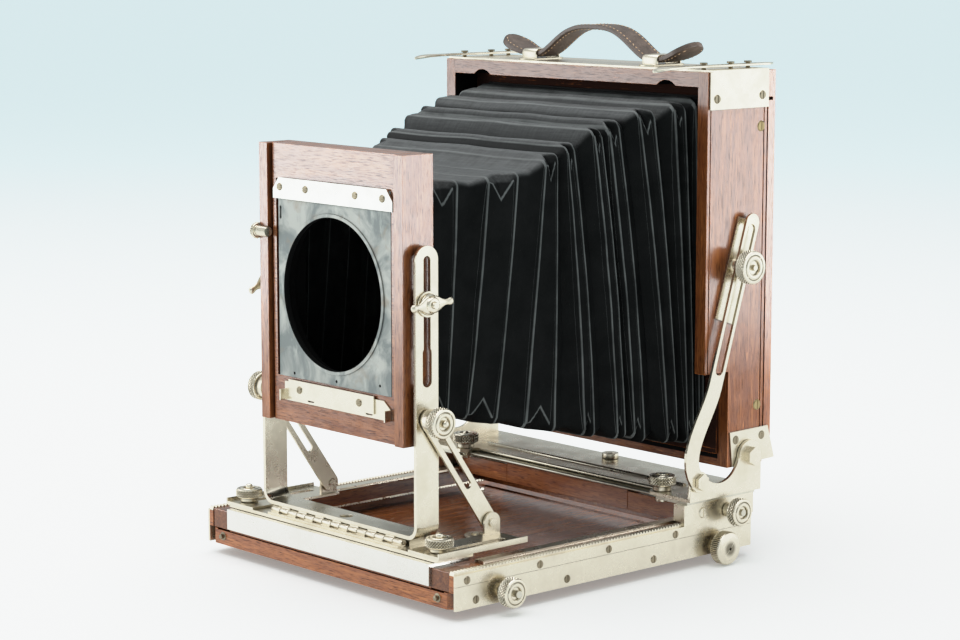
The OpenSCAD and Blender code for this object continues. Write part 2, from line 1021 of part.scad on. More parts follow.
module back_springs() {
    color(nickel)
        both()
            difference() {
                box([91, 101], [141, 142.2], [back_z - 88, back_z + 88]);
                for (s = [-1, 1])
                    yrod(2.4, [130, 160], [96, back_z + s * 83], 32);
            }
}

// ---- Handle and latch bars ----

function arch(x) = 290.9 + 18.6 * (0.5 + 0.5 * cos(180 * abs(x) / 51));
function tongue(x) = 290.9 + (x - 51) * (x - 51) * 0.011;

module handle_strap() {
    side = [for (x = [51 : 3 : 81]) [x, tongue(x)]];
    path = concat([for (i = [len(side) - 1 : -1 : 0]) [-side[i][0], side[i][1]]],
        [for (x = [-48 : 4 : 48]) [x, arch(x)]], side);
    color(leather)
        front_sheet([strap_y - 9, strap_y + 9])
            polygon(ribbon(path, 3));
}

module handle_brackets() {
    color(nickel)
        both() {
            difference() {
                box([46, 60], [strap_y - 16, strap_y + 16],
                    [case_z1 + top_t, case_z1 + top_t + 1]);
                box([45, 61], [strap_y - 9.6, strap_y + 9.6], [280, 295]);
            }
            difference() {
                box([48.5, 57.5], [strap_y - 11, strap_y + 11], [case_z1 + top_t + 1, 295]);
                box([40, 70], [strap_y - 9.6, strap_y + 9.6], [280, 293.6]);
            }
        }
}

module latch_bars() {
    color(nickel)
        both()
            translate([0, 0, 288.9])
                linear_extrude(1.3)
                    difference() {
                        union() {
                            slot2d([bar_x, 52], [bar_x, 134], 8);
                            polygon([[bar_x - 3.6, 52], [bar_x, 40], [bar_x + 3.6, 52]]);
                            polygon([[bar_x - 3.6, 134], [bar_x, 142], [bar_x + 3.6, 134]]);
                        }
                        slot2d([bar_x, 68], [bar_x, 126], 3.1);
                    }
}

// ---- Bellows ----

function bel_w(y) = 62 + 37 * (y + 92) / 180;
function bel_top(y) = 233 + 38 * (y + 92) / 180;
function bel_bot(y) = 93 - 27 * (y + 92) / 180;

module bellows_skin(y, grow) {
    for (v = y)
        translate([-bel_w(v) - grow, v - 0.05, bel_bot(v) - grow])
            cube([2 * bel_w(v) + 2 * grow, 0.1, bel_top(v) - bel_bot(v) + 2 * grow]);
}

module bellows(y) {
    color(black)
        difference() {
            hull()
                bellows_skin(y, 0);
            hull()
                bellows_skin([y[0] - 1, y[1] + 1], -10);
        }
}

module bellows_front() {
    bellows([-91.4, -62.4]);
}

module bellows_mid() {
    bellows([-61.8, -20.4]);
}

module bellows_rear() {
    bellows([-19.8, 39.4]);
}

module bellows_case() {
    bellows([40, 96]);
}

bed_tray();
side_plates();
rack_strips();
bed_screws();
tripod_block();
tripod_bush();
bed_lock_knobs();
extension_frame();
extension_blocks();
extension_plate();
extension_strips();
extension_racks();
front_pinion();
front_focus_knobs();
swing_plate();
hinge_pin();
bracket_screws();
strut_brackets();
yoke();
struts();
strut_knobs();
pivot_studs();
wing_nut_left();
wing_nut_right();
lens_frame();
panel_lock_knob();
lens_panel();
board_clip();
lens_board();
panel_screws();
board_latch();
latch_cover();
carriage_blocks();
carriage_bar();
carriage_plate();
carriage_bolts();
rear_pinion();
rear_focus_knobs();
rear_swing_plate();
swing_lock_left();
swing_lock_right();
pivot_bolts();
case_frame();
case_top_plate();
case_side_plates();
case_screws();
brass_screws();
tilt_arms();
arm_knobs();
back_frame();
glass_frame();
ground_glass();
back_springs();
handle_strap();
handle_brackets();
latch_bars();
bellows_front();
bellows_mid();
bellows_rear();
bellows_case();
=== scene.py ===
"""A wooden folding view camera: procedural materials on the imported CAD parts, plus the soft goods
and the turned hardware.

Lengths are millimetres, which MM turns into Blender's metres when a mesh is made. Only lights and the
camera are placed in metres.
"""

import json
from itertools import product
from math import copysign, cos, hypot, pi, radians, sin, sqrt

import bpy
import numpy as np
from mathutils import Matrix, Vector, noise


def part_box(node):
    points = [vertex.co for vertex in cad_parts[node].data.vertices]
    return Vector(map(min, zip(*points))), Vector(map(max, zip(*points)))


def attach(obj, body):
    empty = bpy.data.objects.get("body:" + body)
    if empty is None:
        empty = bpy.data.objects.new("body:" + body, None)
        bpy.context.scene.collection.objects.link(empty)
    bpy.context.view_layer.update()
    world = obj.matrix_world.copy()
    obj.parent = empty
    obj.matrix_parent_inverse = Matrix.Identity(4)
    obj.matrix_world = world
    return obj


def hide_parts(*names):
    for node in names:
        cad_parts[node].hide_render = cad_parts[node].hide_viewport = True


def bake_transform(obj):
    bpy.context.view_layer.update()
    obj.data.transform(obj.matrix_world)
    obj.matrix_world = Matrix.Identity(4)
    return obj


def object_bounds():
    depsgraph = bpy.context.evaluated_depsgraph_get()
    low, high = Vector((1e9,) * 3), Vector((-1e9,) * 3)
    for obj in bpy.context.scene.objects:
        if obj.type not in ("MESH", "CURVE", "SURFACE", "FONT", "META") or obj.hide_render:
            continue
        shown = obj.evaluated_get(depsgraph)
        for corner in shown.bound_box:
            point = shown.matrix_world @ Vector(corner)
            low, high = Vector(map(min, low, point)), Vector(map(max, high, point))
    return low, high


MM = 0.001
scene = bpy.context.scene

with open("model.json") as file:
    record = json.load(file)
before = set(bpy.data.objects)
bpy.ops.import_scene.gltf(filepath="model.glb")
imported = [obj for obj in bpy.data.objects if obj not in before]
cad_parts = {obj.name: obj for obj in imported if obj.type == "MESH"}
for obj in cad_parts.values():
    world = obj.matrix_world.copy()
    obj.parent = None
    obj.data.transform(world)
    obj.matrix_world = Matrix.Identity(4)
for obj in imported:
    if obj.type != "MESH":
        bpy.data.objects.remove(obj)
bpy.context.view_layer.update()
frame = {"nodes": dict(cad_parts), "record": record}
NODES = frame["nodes"]
SLOT_OF = {s["node"]: s["material_slot"] for s in frame["record"]["subparts"]}


def box_mm(node):
    """The lowest and the highest corner of a CAD node, in millimetres."""
    return [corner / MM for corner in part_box(node)]


def centre_mm(node):
    low, high = box_mm(node)
    return (low + high) / 2


# ---------- materials


class Net:
    """A short way to write a node tree: a method adds nodes and returns the last one's output."""

    def __init__(self, name):
        self.material = bpy.data.materials.new(name)
        self.material.use_nodes = True
        self.tree = self.material.node_tree
        self.bsdf = self.tree.nodes["Principled BSDF"]

    def put(self, socket, value):
        if isinstance(value, bpy.types.NodeSocket):
            self.tree.links.new(value, socket)
        else:
            socket.default_value = value

    def add(self, kind, inputs=None, **properties):
        node = self.tree.nodes.new("ShaderNode" + kind)
        for name, value in properties.items():
            setattr(node, name, value)
        for key, value in (inputs or {}).items():
            self.put(node.inputs[key], value)
        return node

    def math(self, operation, a, b=0.0):
        return self.add("Math", {0: a, 1: b}, operation=operation).outputs[0]

    def times(self, a, b):
        return self.math("MULTIPLY", a, b)

    def vector(self, operation, *inputs):
        node = self.add("VectorMath", dict(enumerate(inputs)), operation=operation)
        return node.outputs["Value" if operation in ("LENGTH", "DOT_PRODUCT") else "Vector"]

    def place(self, stretch=(1, 1, 1)):
        """Object coordinates in millimetres, scaled along each axis."""
        coords = self.add("TexCoord").outputs["Object"]
        return self.vector("MULTIPLY", coords, tuple(s / MM for s in stretch))

    def axes(self, vector):
        return self.add("SeparateXYZ", {0: vector}).outputs

    def noise(self, vector, scale=1.0, detail=3.0, roughness=0.55, distortion=0.0):
        inputs = {"Vector": vector, "Scale": scale, "Detail": detail}
        inputs |= {"Roughness": roughness, "Distortion": distortion}
        return self.add("TexNoise", inputs).outputs["Fac"]

    def pebble(self, vector, scale):
        node = self.add("TexVoronoi", {"Vector": vector, "Scale": scale}, feature="SMOOTH_F1")
        return node.outputs["Distance"]

    def remap(self, value, low, high, out_low=0.0, out_high=1.0):
        inputs = {0: value, 1: low, 2: high, 3: out_low, 4: out_high}
        return self.add("MapRange", inputs).outputs[0]

    def mix(self, factor, a, b):
        return self.add("Mix", {0: factor, 6: a, 7: b}, data_type="RGBA").outputs[2]

    def mix_vector(self, factor, a, b):
        return self.add("Mix", {0: factor, 4: a, 5: b}, data_type="VECTOR").outputs[1]

    def bump(self, height, distance, strength=1.0):
        inputs = {"Height": height, "Distance": distance * MM, "Strength": strength}
        return self.add("Bump", inputs).outputs[0]

    def edges(self, radius):
        """1 on sharp edges and 0 on flats: how far a rounded normal turns from the true one."""
        rounded = self.add("Bevel", {"Radius": radius * MM}, samples=4).outputs[0]
        true = self.add("NewGeometry").outputs["True Normal"]
        return self.remap(self.vector("DOT_PRODUCT", rounded, true), 0.995, 0.86)

    def open_sky(self, reach, samples):
        """1 on open faces, and less the deeper a point lies among others within reach."""
        node = self.add("AmbientOcclusion", {"Distance": reach * MM}, samples=samples)
        return node.outputs["AO"]

    def crevice_shade(self, reach):
        """1 deep in corners and gaps, 0 on open faces: where painted shade darkens the colour, as shade
        falls there.
        """
        return self.remap(self.open_sky(reach, 6), 0.80, 0.42)

    def within(self, vector, limits):
        """1 inside a box, else 0. limits maps an axis number to (centre, half width)."""
        parts = self.axes(vector)
        inside = None
        for axis, (centre, half) in limits.items():
            off = self.math("ABSOLUTE", self.math("SUBTRACT", parts[axis], centre))
            test = self.math("LESS_THAN", off, half)
            inside = test if inside is None else self.times(inside, test)
        return inside

    def finish(self, colour, roughness, normal=None, **others):
        inputs = {"Base Color": colour, "Roughness": roughness, "Normal": normal}
        inputs |= {name.replace("_", " "): value for name, value in others.items()}
        for name, value in inputs.items():
            if value is not None:
                self.put(self.bsdf.inputs[name], value)
        return self.material


def rgb(r, g, b, tone=1.0):
    return (tone * r, tone * g, tone * b, 1.0)


def grain_space(net, rule):
    """Coordinates stretched along the grain. rule is an axis letter, or (letter inside, letter outside,
    axis number, half width) for a frame whose grain turns that far from the middle."""
    along = 0.06
    stretches = {axis: tuple(along if axis == a else 1.0 for a in "xyz") for axis in "xyz"}
    if isinstance(rule, str):
        return net.place(stretches[rule])
    inside, outside, axis, half = rule
    test = net.within(net.place(), {axis: (0.0, half)})
    return net.mix_vector(test, net.place(stretches[outside]), net.place(stretches[inside]))


def wood(name, rule, tone=1.0, dark=0.0, blackened=None, gloss=0.95):
    """Varnished mahogany: ribbon figure, fibres, short dark pores, worn orange edges and a clear
    coat. blackened is a box, as Net.within takes it, that is painted matt black."""
    net = Net(name)
    grain = grain_space(net, rule)
    broad = net.noise(grain, 0.06, 2.0, 0.5, 0.6)
    ribbon = net.noise(grain, 0.32, 3.0, 0.6, 0.8)
    fibre = net.noise(grain, 2.6, 4.0, 0.7, 0.3)
    pores = net.remap(net.noise(grain, 2.3, 3.0, 0.6), 0.53, 0.64)
    light, deep = rgb(0.262, 0.088, 0.024, tone), rgb(0.134, 0.038, 0.012, tone)
    colour = net.mix(net.remap(ribbon, 0.36, 0.66), deep, light)
    colour = net.mix(net.remap(broad, 0.40, 0.72, 0.0, 0.55), colour, deep)
    colour = net.mix(net.remap(fibre, 0.42, 0.78, 0.0, 0.45), colour, rgb(0.070, 0.019, 0.009, tone))
    colour = net.mix(net.times(pores, 0.8), colour, rgb(0.03, 0.009, 0.005))
    flecks = net.remap(net.noise(grain, 1.2, 2.0, 0.5), 0.66, 0.72)
    if dark:
        colour = net.mix(dark, colour, rgb(0.020, 0.010, 0.008))
    patches = net.remap(net.noise(net.place(), 0.11, 3.0), 0.35, 0.62)
    worn = net.math("MAXIMUM", net.edges(0.55), net.times(flecks, 0.6))
    worn = net.times(worn, patches)
    colour = net.mix(net.times(worn, 0.8), colour, rgb(0.56, 0.170, 0.040))
    # Painted shade: the colour darkens in corners and gaps within 6 mm, where shade falls.
    painted_shade = net.times(net.crevice_shade(6.0), 0.85)
    colour = net.mix(painted_shade, colour, rgb(0.022, 0.008, 0.005))
    rough = net.remap(fibre, 0.3, 0.7, 0.34, 0.52)
    coat = net.remap(pores, 0.0, 1.0, gloss, 0.6 * gloss)
    if blackened:
        inside = net.within(net.place(), blackened)
        colour = net.mix(inside, colour, rgb(0.005, 0.005, 0.005))
        coat = net.times(coat, net.math("SUBTRACT", 1.0, inside))
        rough = net.math("MAXIMUM", rough, net.times(inside, 0.8))
    surface = net.math("SUBTRACT", net.times(fibre, 0.5), pores)
    return net.finish(
        colour,
        rough,
        net.bump(surface, 0.12, 0.55),
        Specular_IOR_Level=0.0,
        Coat_Weight=coat,
        Coat_IOR=1.48,
        Coat_Roughness=net.remap(patches, 0.0, 1.0, 0.19, 0.26),
        Coat_Normal=net.bump(net.noise(grain, 0.7, 2.0), 0.10, 0.35),
    )


def metal(name, base, stain, roughness, stain_share=0.3, knurled=False):
    """Plated metal with soft stains, specks and fine brushing; a knurled one has painted shade in its
    cuts.
    """
    net = Net(name)
    place = net.place()
    cloud = net.noise(place, 0.07, 4.0, 0.65)
    spots = net.remap(net.noise(place, 0.9, 3.0, 0.6), 0.66, 0.80)
    fine = net.noise(net.place((1.0, 0.05, 1.0)), 7.0, 3.0, 0.7)
    stained = net.remap(cloud, 0.45, 0.75, 0.0, stain_share)
    stained = net.math("MAXIMUM", stained, net.times(spots, stain_share))
    colour = net.mix(stained, rgb(*base), rgb(*stain))
    if knurled:
        # Painted shade: the hollows between a knurl's teeth are darkened.
        hollow = net.remap(net.add("NewGeometry").outputs["Pointiness"], 0.503, 0.47)
        colour = net.mix(net.times(hollow, 0.85), colour, rgb(0.10, 0.085, 0.06))
    rough = net.remap(cloud, 0.3, 0.7, roughness - 0.05, roughness + 0.08)
    rough = net.math("ADD", rough, net.times(spots, 0.12))
    return net.finish(colour, rough, net.bump(fine, 0.012, 0.5), Metallic=1.0)


def board_metal(name, hole):
    """The lens board: dull blue-grey metal with brown patches, pale wiped marks and the wall of its
    hole blackened. hole is (x, z, radius)."""
    net = Net(name)
    place = net.place()
    cloud = net.noise(place, 0.045, 4.0, 0.6, 0.8)
    wiped = net.noise(net.place((1.0, 1.0, 0.35)), 0.11, 4.0, 0.7)
    grain = net.noise(place, 3.5, 3.0, 0.7)
    blue, pale = rgb(0.150, 0.168, 0.163), rgb(0.370, 0.378, 0.345)
    colour = net.mix(net.remap(cloud, 0.42, 0.62), blue, pale)
    colour = net.mix(net.remap(wiped, 0.55, 0.72, 0.0, 0.7), colour, rgb(0.44, 0.455, 0.41))
    brown = net.remap(net.noise(place, 0.085, 3.0, 0.5, 0.5), 0.58, 0.72, 0.0, 0.55)
    colour = net.mix(brown, colour, rgb(0.230, 0.170, 0.115))
    colour = net.mix(net.remap(grain, 0.55, 0.8, 0.0, 0.25), colour, rgb(0.09, 0.10, 0.10))
    # Painted shade: the colour darkens in corners and gaps within 2 mm.
    colour = net.mix(net.crevice_shade(2.0), colour, rgb(0.02, 0.02, 0.02))
    x, z, radius = hole
    from_axis = net.vector("SUBTRACT", net.place(), (x, 0.0, z))
    from_axis = net.vector("MULTIPLY", from_axis, (1.0, 0.0, 1.0))
    wall = net.math("LESS_THAN", net.vector("LENGTH", from_axis), radius + 0.12)
    colour = net.mix(wall, colour, rgb(0.006, 0.006, 0.006))
    return net.finish(
        colour,
        net.remap(wiped, 0.3, 0.7, 0.48, 0.36),
        net.bump(grain, 0.05, 0.5),
        Metallic=net.remap(wall, 0.0, 1.0, 0.45, 0.0),
        Specular_IOR_Level=net.remap(wall, 0.0, 1.0, 0.5, 0.05),
    )


def ground_glass(name):
    """Finely ground glass: pale, frosted and slightly see-through."""
    net = Net(name)
    frost = net.noise(net.place(), 6.0, 3.0, 0.7)
    colour = net.mix(net.remap(frost, 0.3, 0.7), rgb(0.66, 0.70, 0.69), rgb(0.78, 0.82, 0.80))
    return net.finish(colour, 0.42, net.bump(frost, 0.05, 0.6), Transmission_Weight=0.45, IOR=1.5)


def bellows_cloth(name):
    """Black leathercloth: fine pebble, wrinkles along the folds, grey creases of rubbed wear with a
    painted highlight, and a dusty grey with a painted sheen in the weave of what faces up, kept out of the
    valleys by painted shade. Its meshes carry the attributes crease and gusset, see bellows_piece."""
    net = Net(name)
    place = net.place()
    pebble = net.pebble(place, 1.15)
    wrinkle = net.noise(net.place((0.05, 1.0, 0.35)), 0.8, 4.0, 0.6)
    cloud = net.noise(place, 0.06, 3.0, 0.6)
    fine = net.noise(place, 1.6, 4.0, 0.7)
    threads = net.noise(net.place((0.06, 1.0, 1.0)), 1.1, 3.0, 0.7)
    cross = net.noise(net.place((1.0, 0.06, 0.06)), 1.1, 3.0, 0.7)
    threads = net.times(net.math("ADD", threads, cross), 0.5)
    # Painted shade: ambient occlusion keeps the grey of the tops out of the valleys between the folds.
    raised = net.remap(net.open_sky(12.0, 4), 0.45, 0.95)
    crease = net.add("Attribute", attribute_name="crease").outputs["Fac"]
    gusset = net.add("Attribute", attribute_name="gusset").outputs["Fac"]
    # A painted highlight along each gusset's slanting edge.
    line = net.remap(net.math("ABSOLUTE", gusset), 0.25, 0.75, 1.0, 0.0)
    crease = net.math("MAXIMUM", crease, line)
    # The grey of the creases is rubbed wear with a painted highlight where a fold catches the light.
    worn = net.times(crease, net.remap(cloud, 0.3, 0.6, 0.45, 1.0))
    up = net.axes(net.add("NewGeometry").outputs["Normal"])[2]
    # Dusty grey with a painted sheen on what faces up, as a light from above shows it.
    dust_and_sheen = net.times(net.remap(up, 0.35, 0.95), net.remap(fine, 0.25, 0.75, 0.75, 1.0))
    dust_and_sheen = net.times(dust_and_sheen, net.remap(threads, 0.40, 0.60, 0.35, 1.0))
    dust_and_sheen = net.times(dust_and_sheen, raised)
    black, soot = rgb(0.0036, 0.0040, 0.0040), rgb(0.0070, 0.0074, 0.0074)
    colour = net.mix(net.remap(cloud, 0.35, 0.7), black, soot)
    colour = net.mix(dust_and_sheen, colour, rgb(0.076, 0.081, 0.081))
    colour = net.mix(worn, colour, rgb(0.105, 0.112, 0.110))
    height = net.math("ADD", net.times(wrinkle, 2.2), pebble)
    height = net.math("ADD", height, net.times(threads, 1.4))
    rough = net.remap(cloud, 0.3, 0.7, 0.50, 0.62)
    sheen = net.remap(up, 0.2, 0.9, 0.03, 0.26)
    return net.finish(colour, rough, net.bump(height, 0.16, 0.5), Specular_IOR_Level=sheen)


def leather(name):
    """Old brown bridle leather: pebble, long creases and colour rubbed unevenly."""
    net = Net(name)
    place = net.place()
    pebble = net.pebble(place, 1.6)
    cloud = net.noise(place, 0.16, 4.0, 0.65)
    crease = net.noise(net.place((1.0, 0.2, 1.0)), 0.7, 4.0, 0.65)
    dark, worn = rgb(0.040, 0.026, 0.019), rgb(0.088, 0.062, 0.049)
    colour = net.mix(net.remap(cloud, 0.35, 0.68), dark, worn)
    creased = net.remap(crease, 0.60, 0.78, 0.0, 0.5)
    colour = net.mix(creased, colour, rgb(0.018, 0.0117, 0.00855))
    height = net.math("ADD", pebble, net.times(crease, 1.6))
    rough = net.remap(cloud, 0.3, 0.7, 0.44, 0.58)
    return net.finish(colour, rough, net.bump(height, 0.14, 0.6), Specular_IOR_Level=0.3)


def thread(name):
    """Twisted waxed thread, in two tans."""
    net = Net(name)
    inputs = {"Vector": net.place(), "Scale": 0.55, "Distortion": 1.0}
    twist = net.add("TexWave", inputs, bands_direction="DIAGONAL").outputs["Fac"]
    colour = net.mix(twist, rgb(0.42, 0.24, 0.12), rgb(0.66, 0.45, 0.27))
    return net.finish(colour, 0.75, net.bump(twist, 0.08, 0.8))


case_low, case_high = box_mm("case_frame")
bed_low, bed_high = box_mm("bed_tray")
WALL = 8.0  # of the case's sides
TOP_WALL = 4.8
INSIDE_DEPTH = 100.0  # how far back the case is painted black
LIP = 0.6  # bare wood at the case's front edge
SKIN = 0.2  # how far the paint reaches into a wall
OPENING_HALF_X, OPENING_HALF_Z = 50.3, 52.3  # of the hole behind the lens board
OPENING_BELOW_BOARD_MIDDLE = 5.4
BACK_STILE, GLASS_STILE, TRAY_RAIL = 18.0, 14.0, 16.0
opening_z = centre_mm("lens_board").z - OPENING_BELOW_BOARD_MIDDLE
hole_mount = next(m for m in frame["record"]["mounts"] if m["name"] == "lens_board_hole")
HOLE = (hole_mount["pos_m"][0] / MM, hole_mount["pos_m"][2] / MM, hole_mount["dims"]["r_mm"])

PLATED = (0.70, 0.635, 0.505), (0.40, 0.355, 0.26)
NICKEL = metal("nickel_satin", *PLATED, 0.27)
KNURLED = metal("nickel_knurled", *PLATED, 0.25, knurled=True)
BRIGHT = metal("nickel_bright", (0.76, 0.74, 0.68), (0.54, 0.50, 0.41), 0.24, 0.2)
MATERIALS = {
    "nickel": NICKEL,
    "dark_nickel": metal("nickel_worn", (0.56, 0.53, 0.44), (0.24, 0.205, 0.15), 0.34, 0.5),
    "brass": metal("brass_aged", (0.34, 0.255, 0.125), (0.13, 0.085, 0.04), 0.30, 0.5),
    "board_metal": board_metal("lens_board_metal", HOLE),
    "glass": ground_glass("ground_glass"),
    "leather": leather("strap_leather"),
    "bellows_cloth": bellows_cloth("bellows_cloth"),
    "blackened_board": wood("blackened_board", "x", 0.03, 0.9, gloss=0.0),
    "mahogany": wood("mahogany_across", "x"),
    "dark_wood": wood("mahogany_end", "y", 0.8, 0.25),
}
GRAIN_RULE = {
    "case_frame": ("x", "z", 0, case_high.x - WALL),
    "back_frame": ("x", "z", 0, box_mm("back_frame")[1].x - BACK_STILE),
    "glass_frame": ("x", "z", 0, box_mm("glass_frame")[1].x - GLASS_STILE),
    "bed_tray": ("y", "x", 1, bed_high.y - TRAY_RAIL),
    "extension_frame": "y",
    "lens_frame": "z",
    "lens_panel": "x",
    "carriage_bar": "x",
}
OPENING = {0: (0.0, OPENING_HALF_X), 2: (opening_z, OPENING_HALF_Z)}
BLACKENED = {
    "case_frame": {
        0: (0.0, case_high.x - WALL + SKIN),
        1: (case_low.y + LIP + INSIDE_DEPTH / 2, INSIDE_DEPTH / 2),
        2: (centre_mm("case_frame").z, (case_high.z - case_low.z) / 2 - TOP_WALL + SKIN),
    },
    "lens_frame": OPENING,
    "lens_panel": OPENING,
}
# The tray's lighter tone (1.3) is painted light on wood that lies low in shade, and the case's darker tone
# (0.72) is painted shade on its front and underside.
LOOKS = {"bed_tray": {"tone": 1.3}, "case_frame": {"tone": 0.72, "gloss": 0.6}}
WOODS = {}
for node, rule in GRAIN_RULE.items():
    WOODS[node] = wood("mahogany_" + node, rule, blackened=BLACKENED.get(node), **LOOKS.get(node, {}))
SCREW = metal("screw_steel", (0.27, 0.225, 0.155), (0.06, 0.048, 0.033), 0.28, 0.6)
NODE_MATERIAL = WOODS | dict.fromkeys(("bed_screws", "panel_screws", "case_screws", "hinge_pin"), SCREW)
NODE_MATERIAL |= dict.fromkeys(("extension_plate", "board_clip"), BRIGHT)

# ---------- CAD nodes
UNBEVELLED = {"rack_strips", "extension_racks", "front_pinion", "rear_pinion", "ground_glass"}
WOOD_SLOTS = {"mahogany", "dark_wood"}
WOOD_EDGE, METAL_EDGE = 0.45, 0.16


def dress(node, obj):
    """Gives a CAD node its material, and softens its edges with modifiers only."""
    slot = SLOT_OF[node]
    obj.data.materials.clear()
    obj.data.materials.append(NODE_MATERIAL.get(node, MATERIALS[slot]))
    if node in UNBEVELLED:
        return
    obj.modifiers.new("weld", "WELD").merge_threshold = 0.002 * MM
    flat = obj.modifiers.new("merge_flats", "DECIMATE")
    flat.decimate_type = "DISSOLVE"
    flat.angle_limit = radians(0.4)
    bevel = obj.modifiers.new("soft_edges", "BEVEL")
    bevel.width = (WOOD_EDGE if slot in WOOD_SLOTS else METAL_EDGE) * MM
    bevel.segments = 2
    bevel.limit_method = "ANGLE"
    bevel.angle_limit = radians(38)
    bevel.harden_normals = True
    bevel.use_clamp_overlap = True


for node_name, node_object in NODES.items():
    dress(node_name, node_object)

# ---------- mesh helpers


def make(name, verts, faces, material, sharp=35.0):
    """A smooth mesh object from points in millimetres, with edges sharper than some degrees kept."""
    mesh = bpy.data.meshes.new(name)
    mesh.from_pydata([tuple(MM * float(c) for c in v) for v in verts], [], faces)
    mesh.update()
    obj = bpy.data.objects.new(name, mesh)
    scene.collection.objects.link(obj)
    mesh.materials.append(material)
    mesh.polygons.foreach_set("use_smooth", [True] * len(mesh.polygons))
    mesh.set_sharp_from_angle(angle=radians(sharp))
    return obj


def interpolate(value, knots):
    return float(np.interp(value, *zip(*knots)))


def skin(rows, count):
    """Quads through closed rings of points: rows of them, count points in each."""
    faces = []
    for start in range(0, (rows - 1) * count, count):
        for j in range(count):
            k = (j + 1) % count
            faces.append((start + j, start + k, start + count + k, start + count + j))
    return faces


def outward(verts, faces):
    """The faces of one closed part, all turned to look out of it."""
    volume = 0.0
    for face in faces:
        first, *rest = (Vector(verts[i]) for i in face)
        volume += sum(first.dot(a.cross(b)) for a, b in zip(rest, rest[1:]))
    return faces if volume > 0 else [face[::-1] for face in faces]


def loft(rings):
    """A closed skin through rings of equal length, with flat ends."""
    count = len(rings[0])
    verts = [point for points in rings for point in points]
    ends = [tuple(range(count))[::-1], tuple(range(len(verts) - count, len(verts)))]
    return verts, outward(verts, skin(len(rings), count) + ends)


# ---------- bellows
# s is a ring's y at mid height, and the ring's top and bottom lean away from it. Between the folds come,
# by turns, a flat panel with a triangular gusset at each corner and a plain valley.
START, END = -91.9, 95.0
FOLDS = [-78, -61, -42.5, -24, -10.5, 4, 10, 25, 30, 36, 42.5, 58, 66, 76, 81.5, 87, 91]
MARKS = [START, *FOLDS, END]
PANELS = [(a, b, i % 2 == 0) for i, (a, b) in enumerate(zip(MARKS, MARKS[1:]))]
# (s, how far behind s the top or the bottom lies)
TOP_LEAN = [(-92, 0), (-60, 6), (-22, 6), (8, -10), (60, -14), (95, 0)]
BOTTOM_LEAN = [(-92, 0), (-60, -8.5), (-26, -8), (4, 5), (60, 9), (95, 0)]
# (y, half width) seen from above, and (y, z) of the ridges seen from the side
SIDE_LINE = [(-92, 62.0), (-76, 66.4), (88, 98.5), (96, 98.5)]
TOP_LINE = [(-92, 230), (-40, 232.5), (-20, 238), (-7, 245), (12, 255), (45, 265), (87, 271.5), (96, 272)]
BOTTOM_LINE = [(-92, 95), (-75, 94.5), (-60, 90.5), (-29, 84), (19, 74), (52, 68), (96, 61.5)]
MIDDLE_Z = 170.0
SHELL = 0.7  # thickness of the cloth
CORNER = 4.2  # radius of the corners
SAG = 0.35  # of the top between its corners
WAVE = 0.5  # unevenness of the cloth
BEAD = 0.34  # how far a fold stands out
BEAD_HALF = 0.8
BEAD_STEPS = [(-BEAD_HALF, 0.0), (-0.4, 0.8), (0.0, 1.0), (0.4, 0.8), (BEAD_HALF, 0.0)]
GUSSET = 14.5  # reach of a gusset from its corner
GUSSET_LEAN = 0.42  # how far it leans in, for each millimetre of its reach
GUSSET_SIDE_DEPTH = 0.7  # of a gusset panel, in the middle of the side
# The folds inside are painted lighter: a painted highlight of the light that comes in through the ground
# glass.
LINING_FOLD_HIGHLIGHT = 0.5  # how strongly the folds show on the inside
FAR = 20.0  # gusset distance of a point that is nowhere near a gusset's edge


def pleat_depth(half_gap, half_cloth, shallow, deep):
    """How far cloth of a given length folds in between two lines, kept between two depths."""
    return min(deep, sqrt(max(half_cloth**2 - half_gap**2, shallow**2)))


def top_drop(s):
    """How far the top is below its ridge line: 0 at the middle of a gusset panel, deepest at the
    middle of a plain one."""
    middles = [((a + b) / 2, gusseted) for a, b, gusseted in PANELS]
    for (near, gusseted), (far, _) in zip(middles, middles[1:]):
        if near <= s <= far:
            t = (s - near) / (far - near)
            return pleat_depth(far - near, 12.5, 3.0, 9.5) * (t if gusseted else 1 - t) ** 1.7
    return 0.0


def ring_places():
    """What ring() takes for every ring in turn: s, bead, and the panel's ends and kind."""
    for a, b, gusseted in PANELS:
        first, last = a == START, b == END
        if not first:
            for offset, bead in BEAD_STEPS:
                yield a + offset, bead, a, b, gusseted
        near = a + (0.0 if first else BEAD_HALF)
        far = b - (0.0 if last else BEAD_HALF)
        steps = max(4, 2 * round((b - a) / (3.0 if gusseted else 5.0)))
        for i in range(0 if first else 1, steps + (1 if last else 0)):
            yield near + (far - near) * i / steps, 0.0, a, b, gusseted


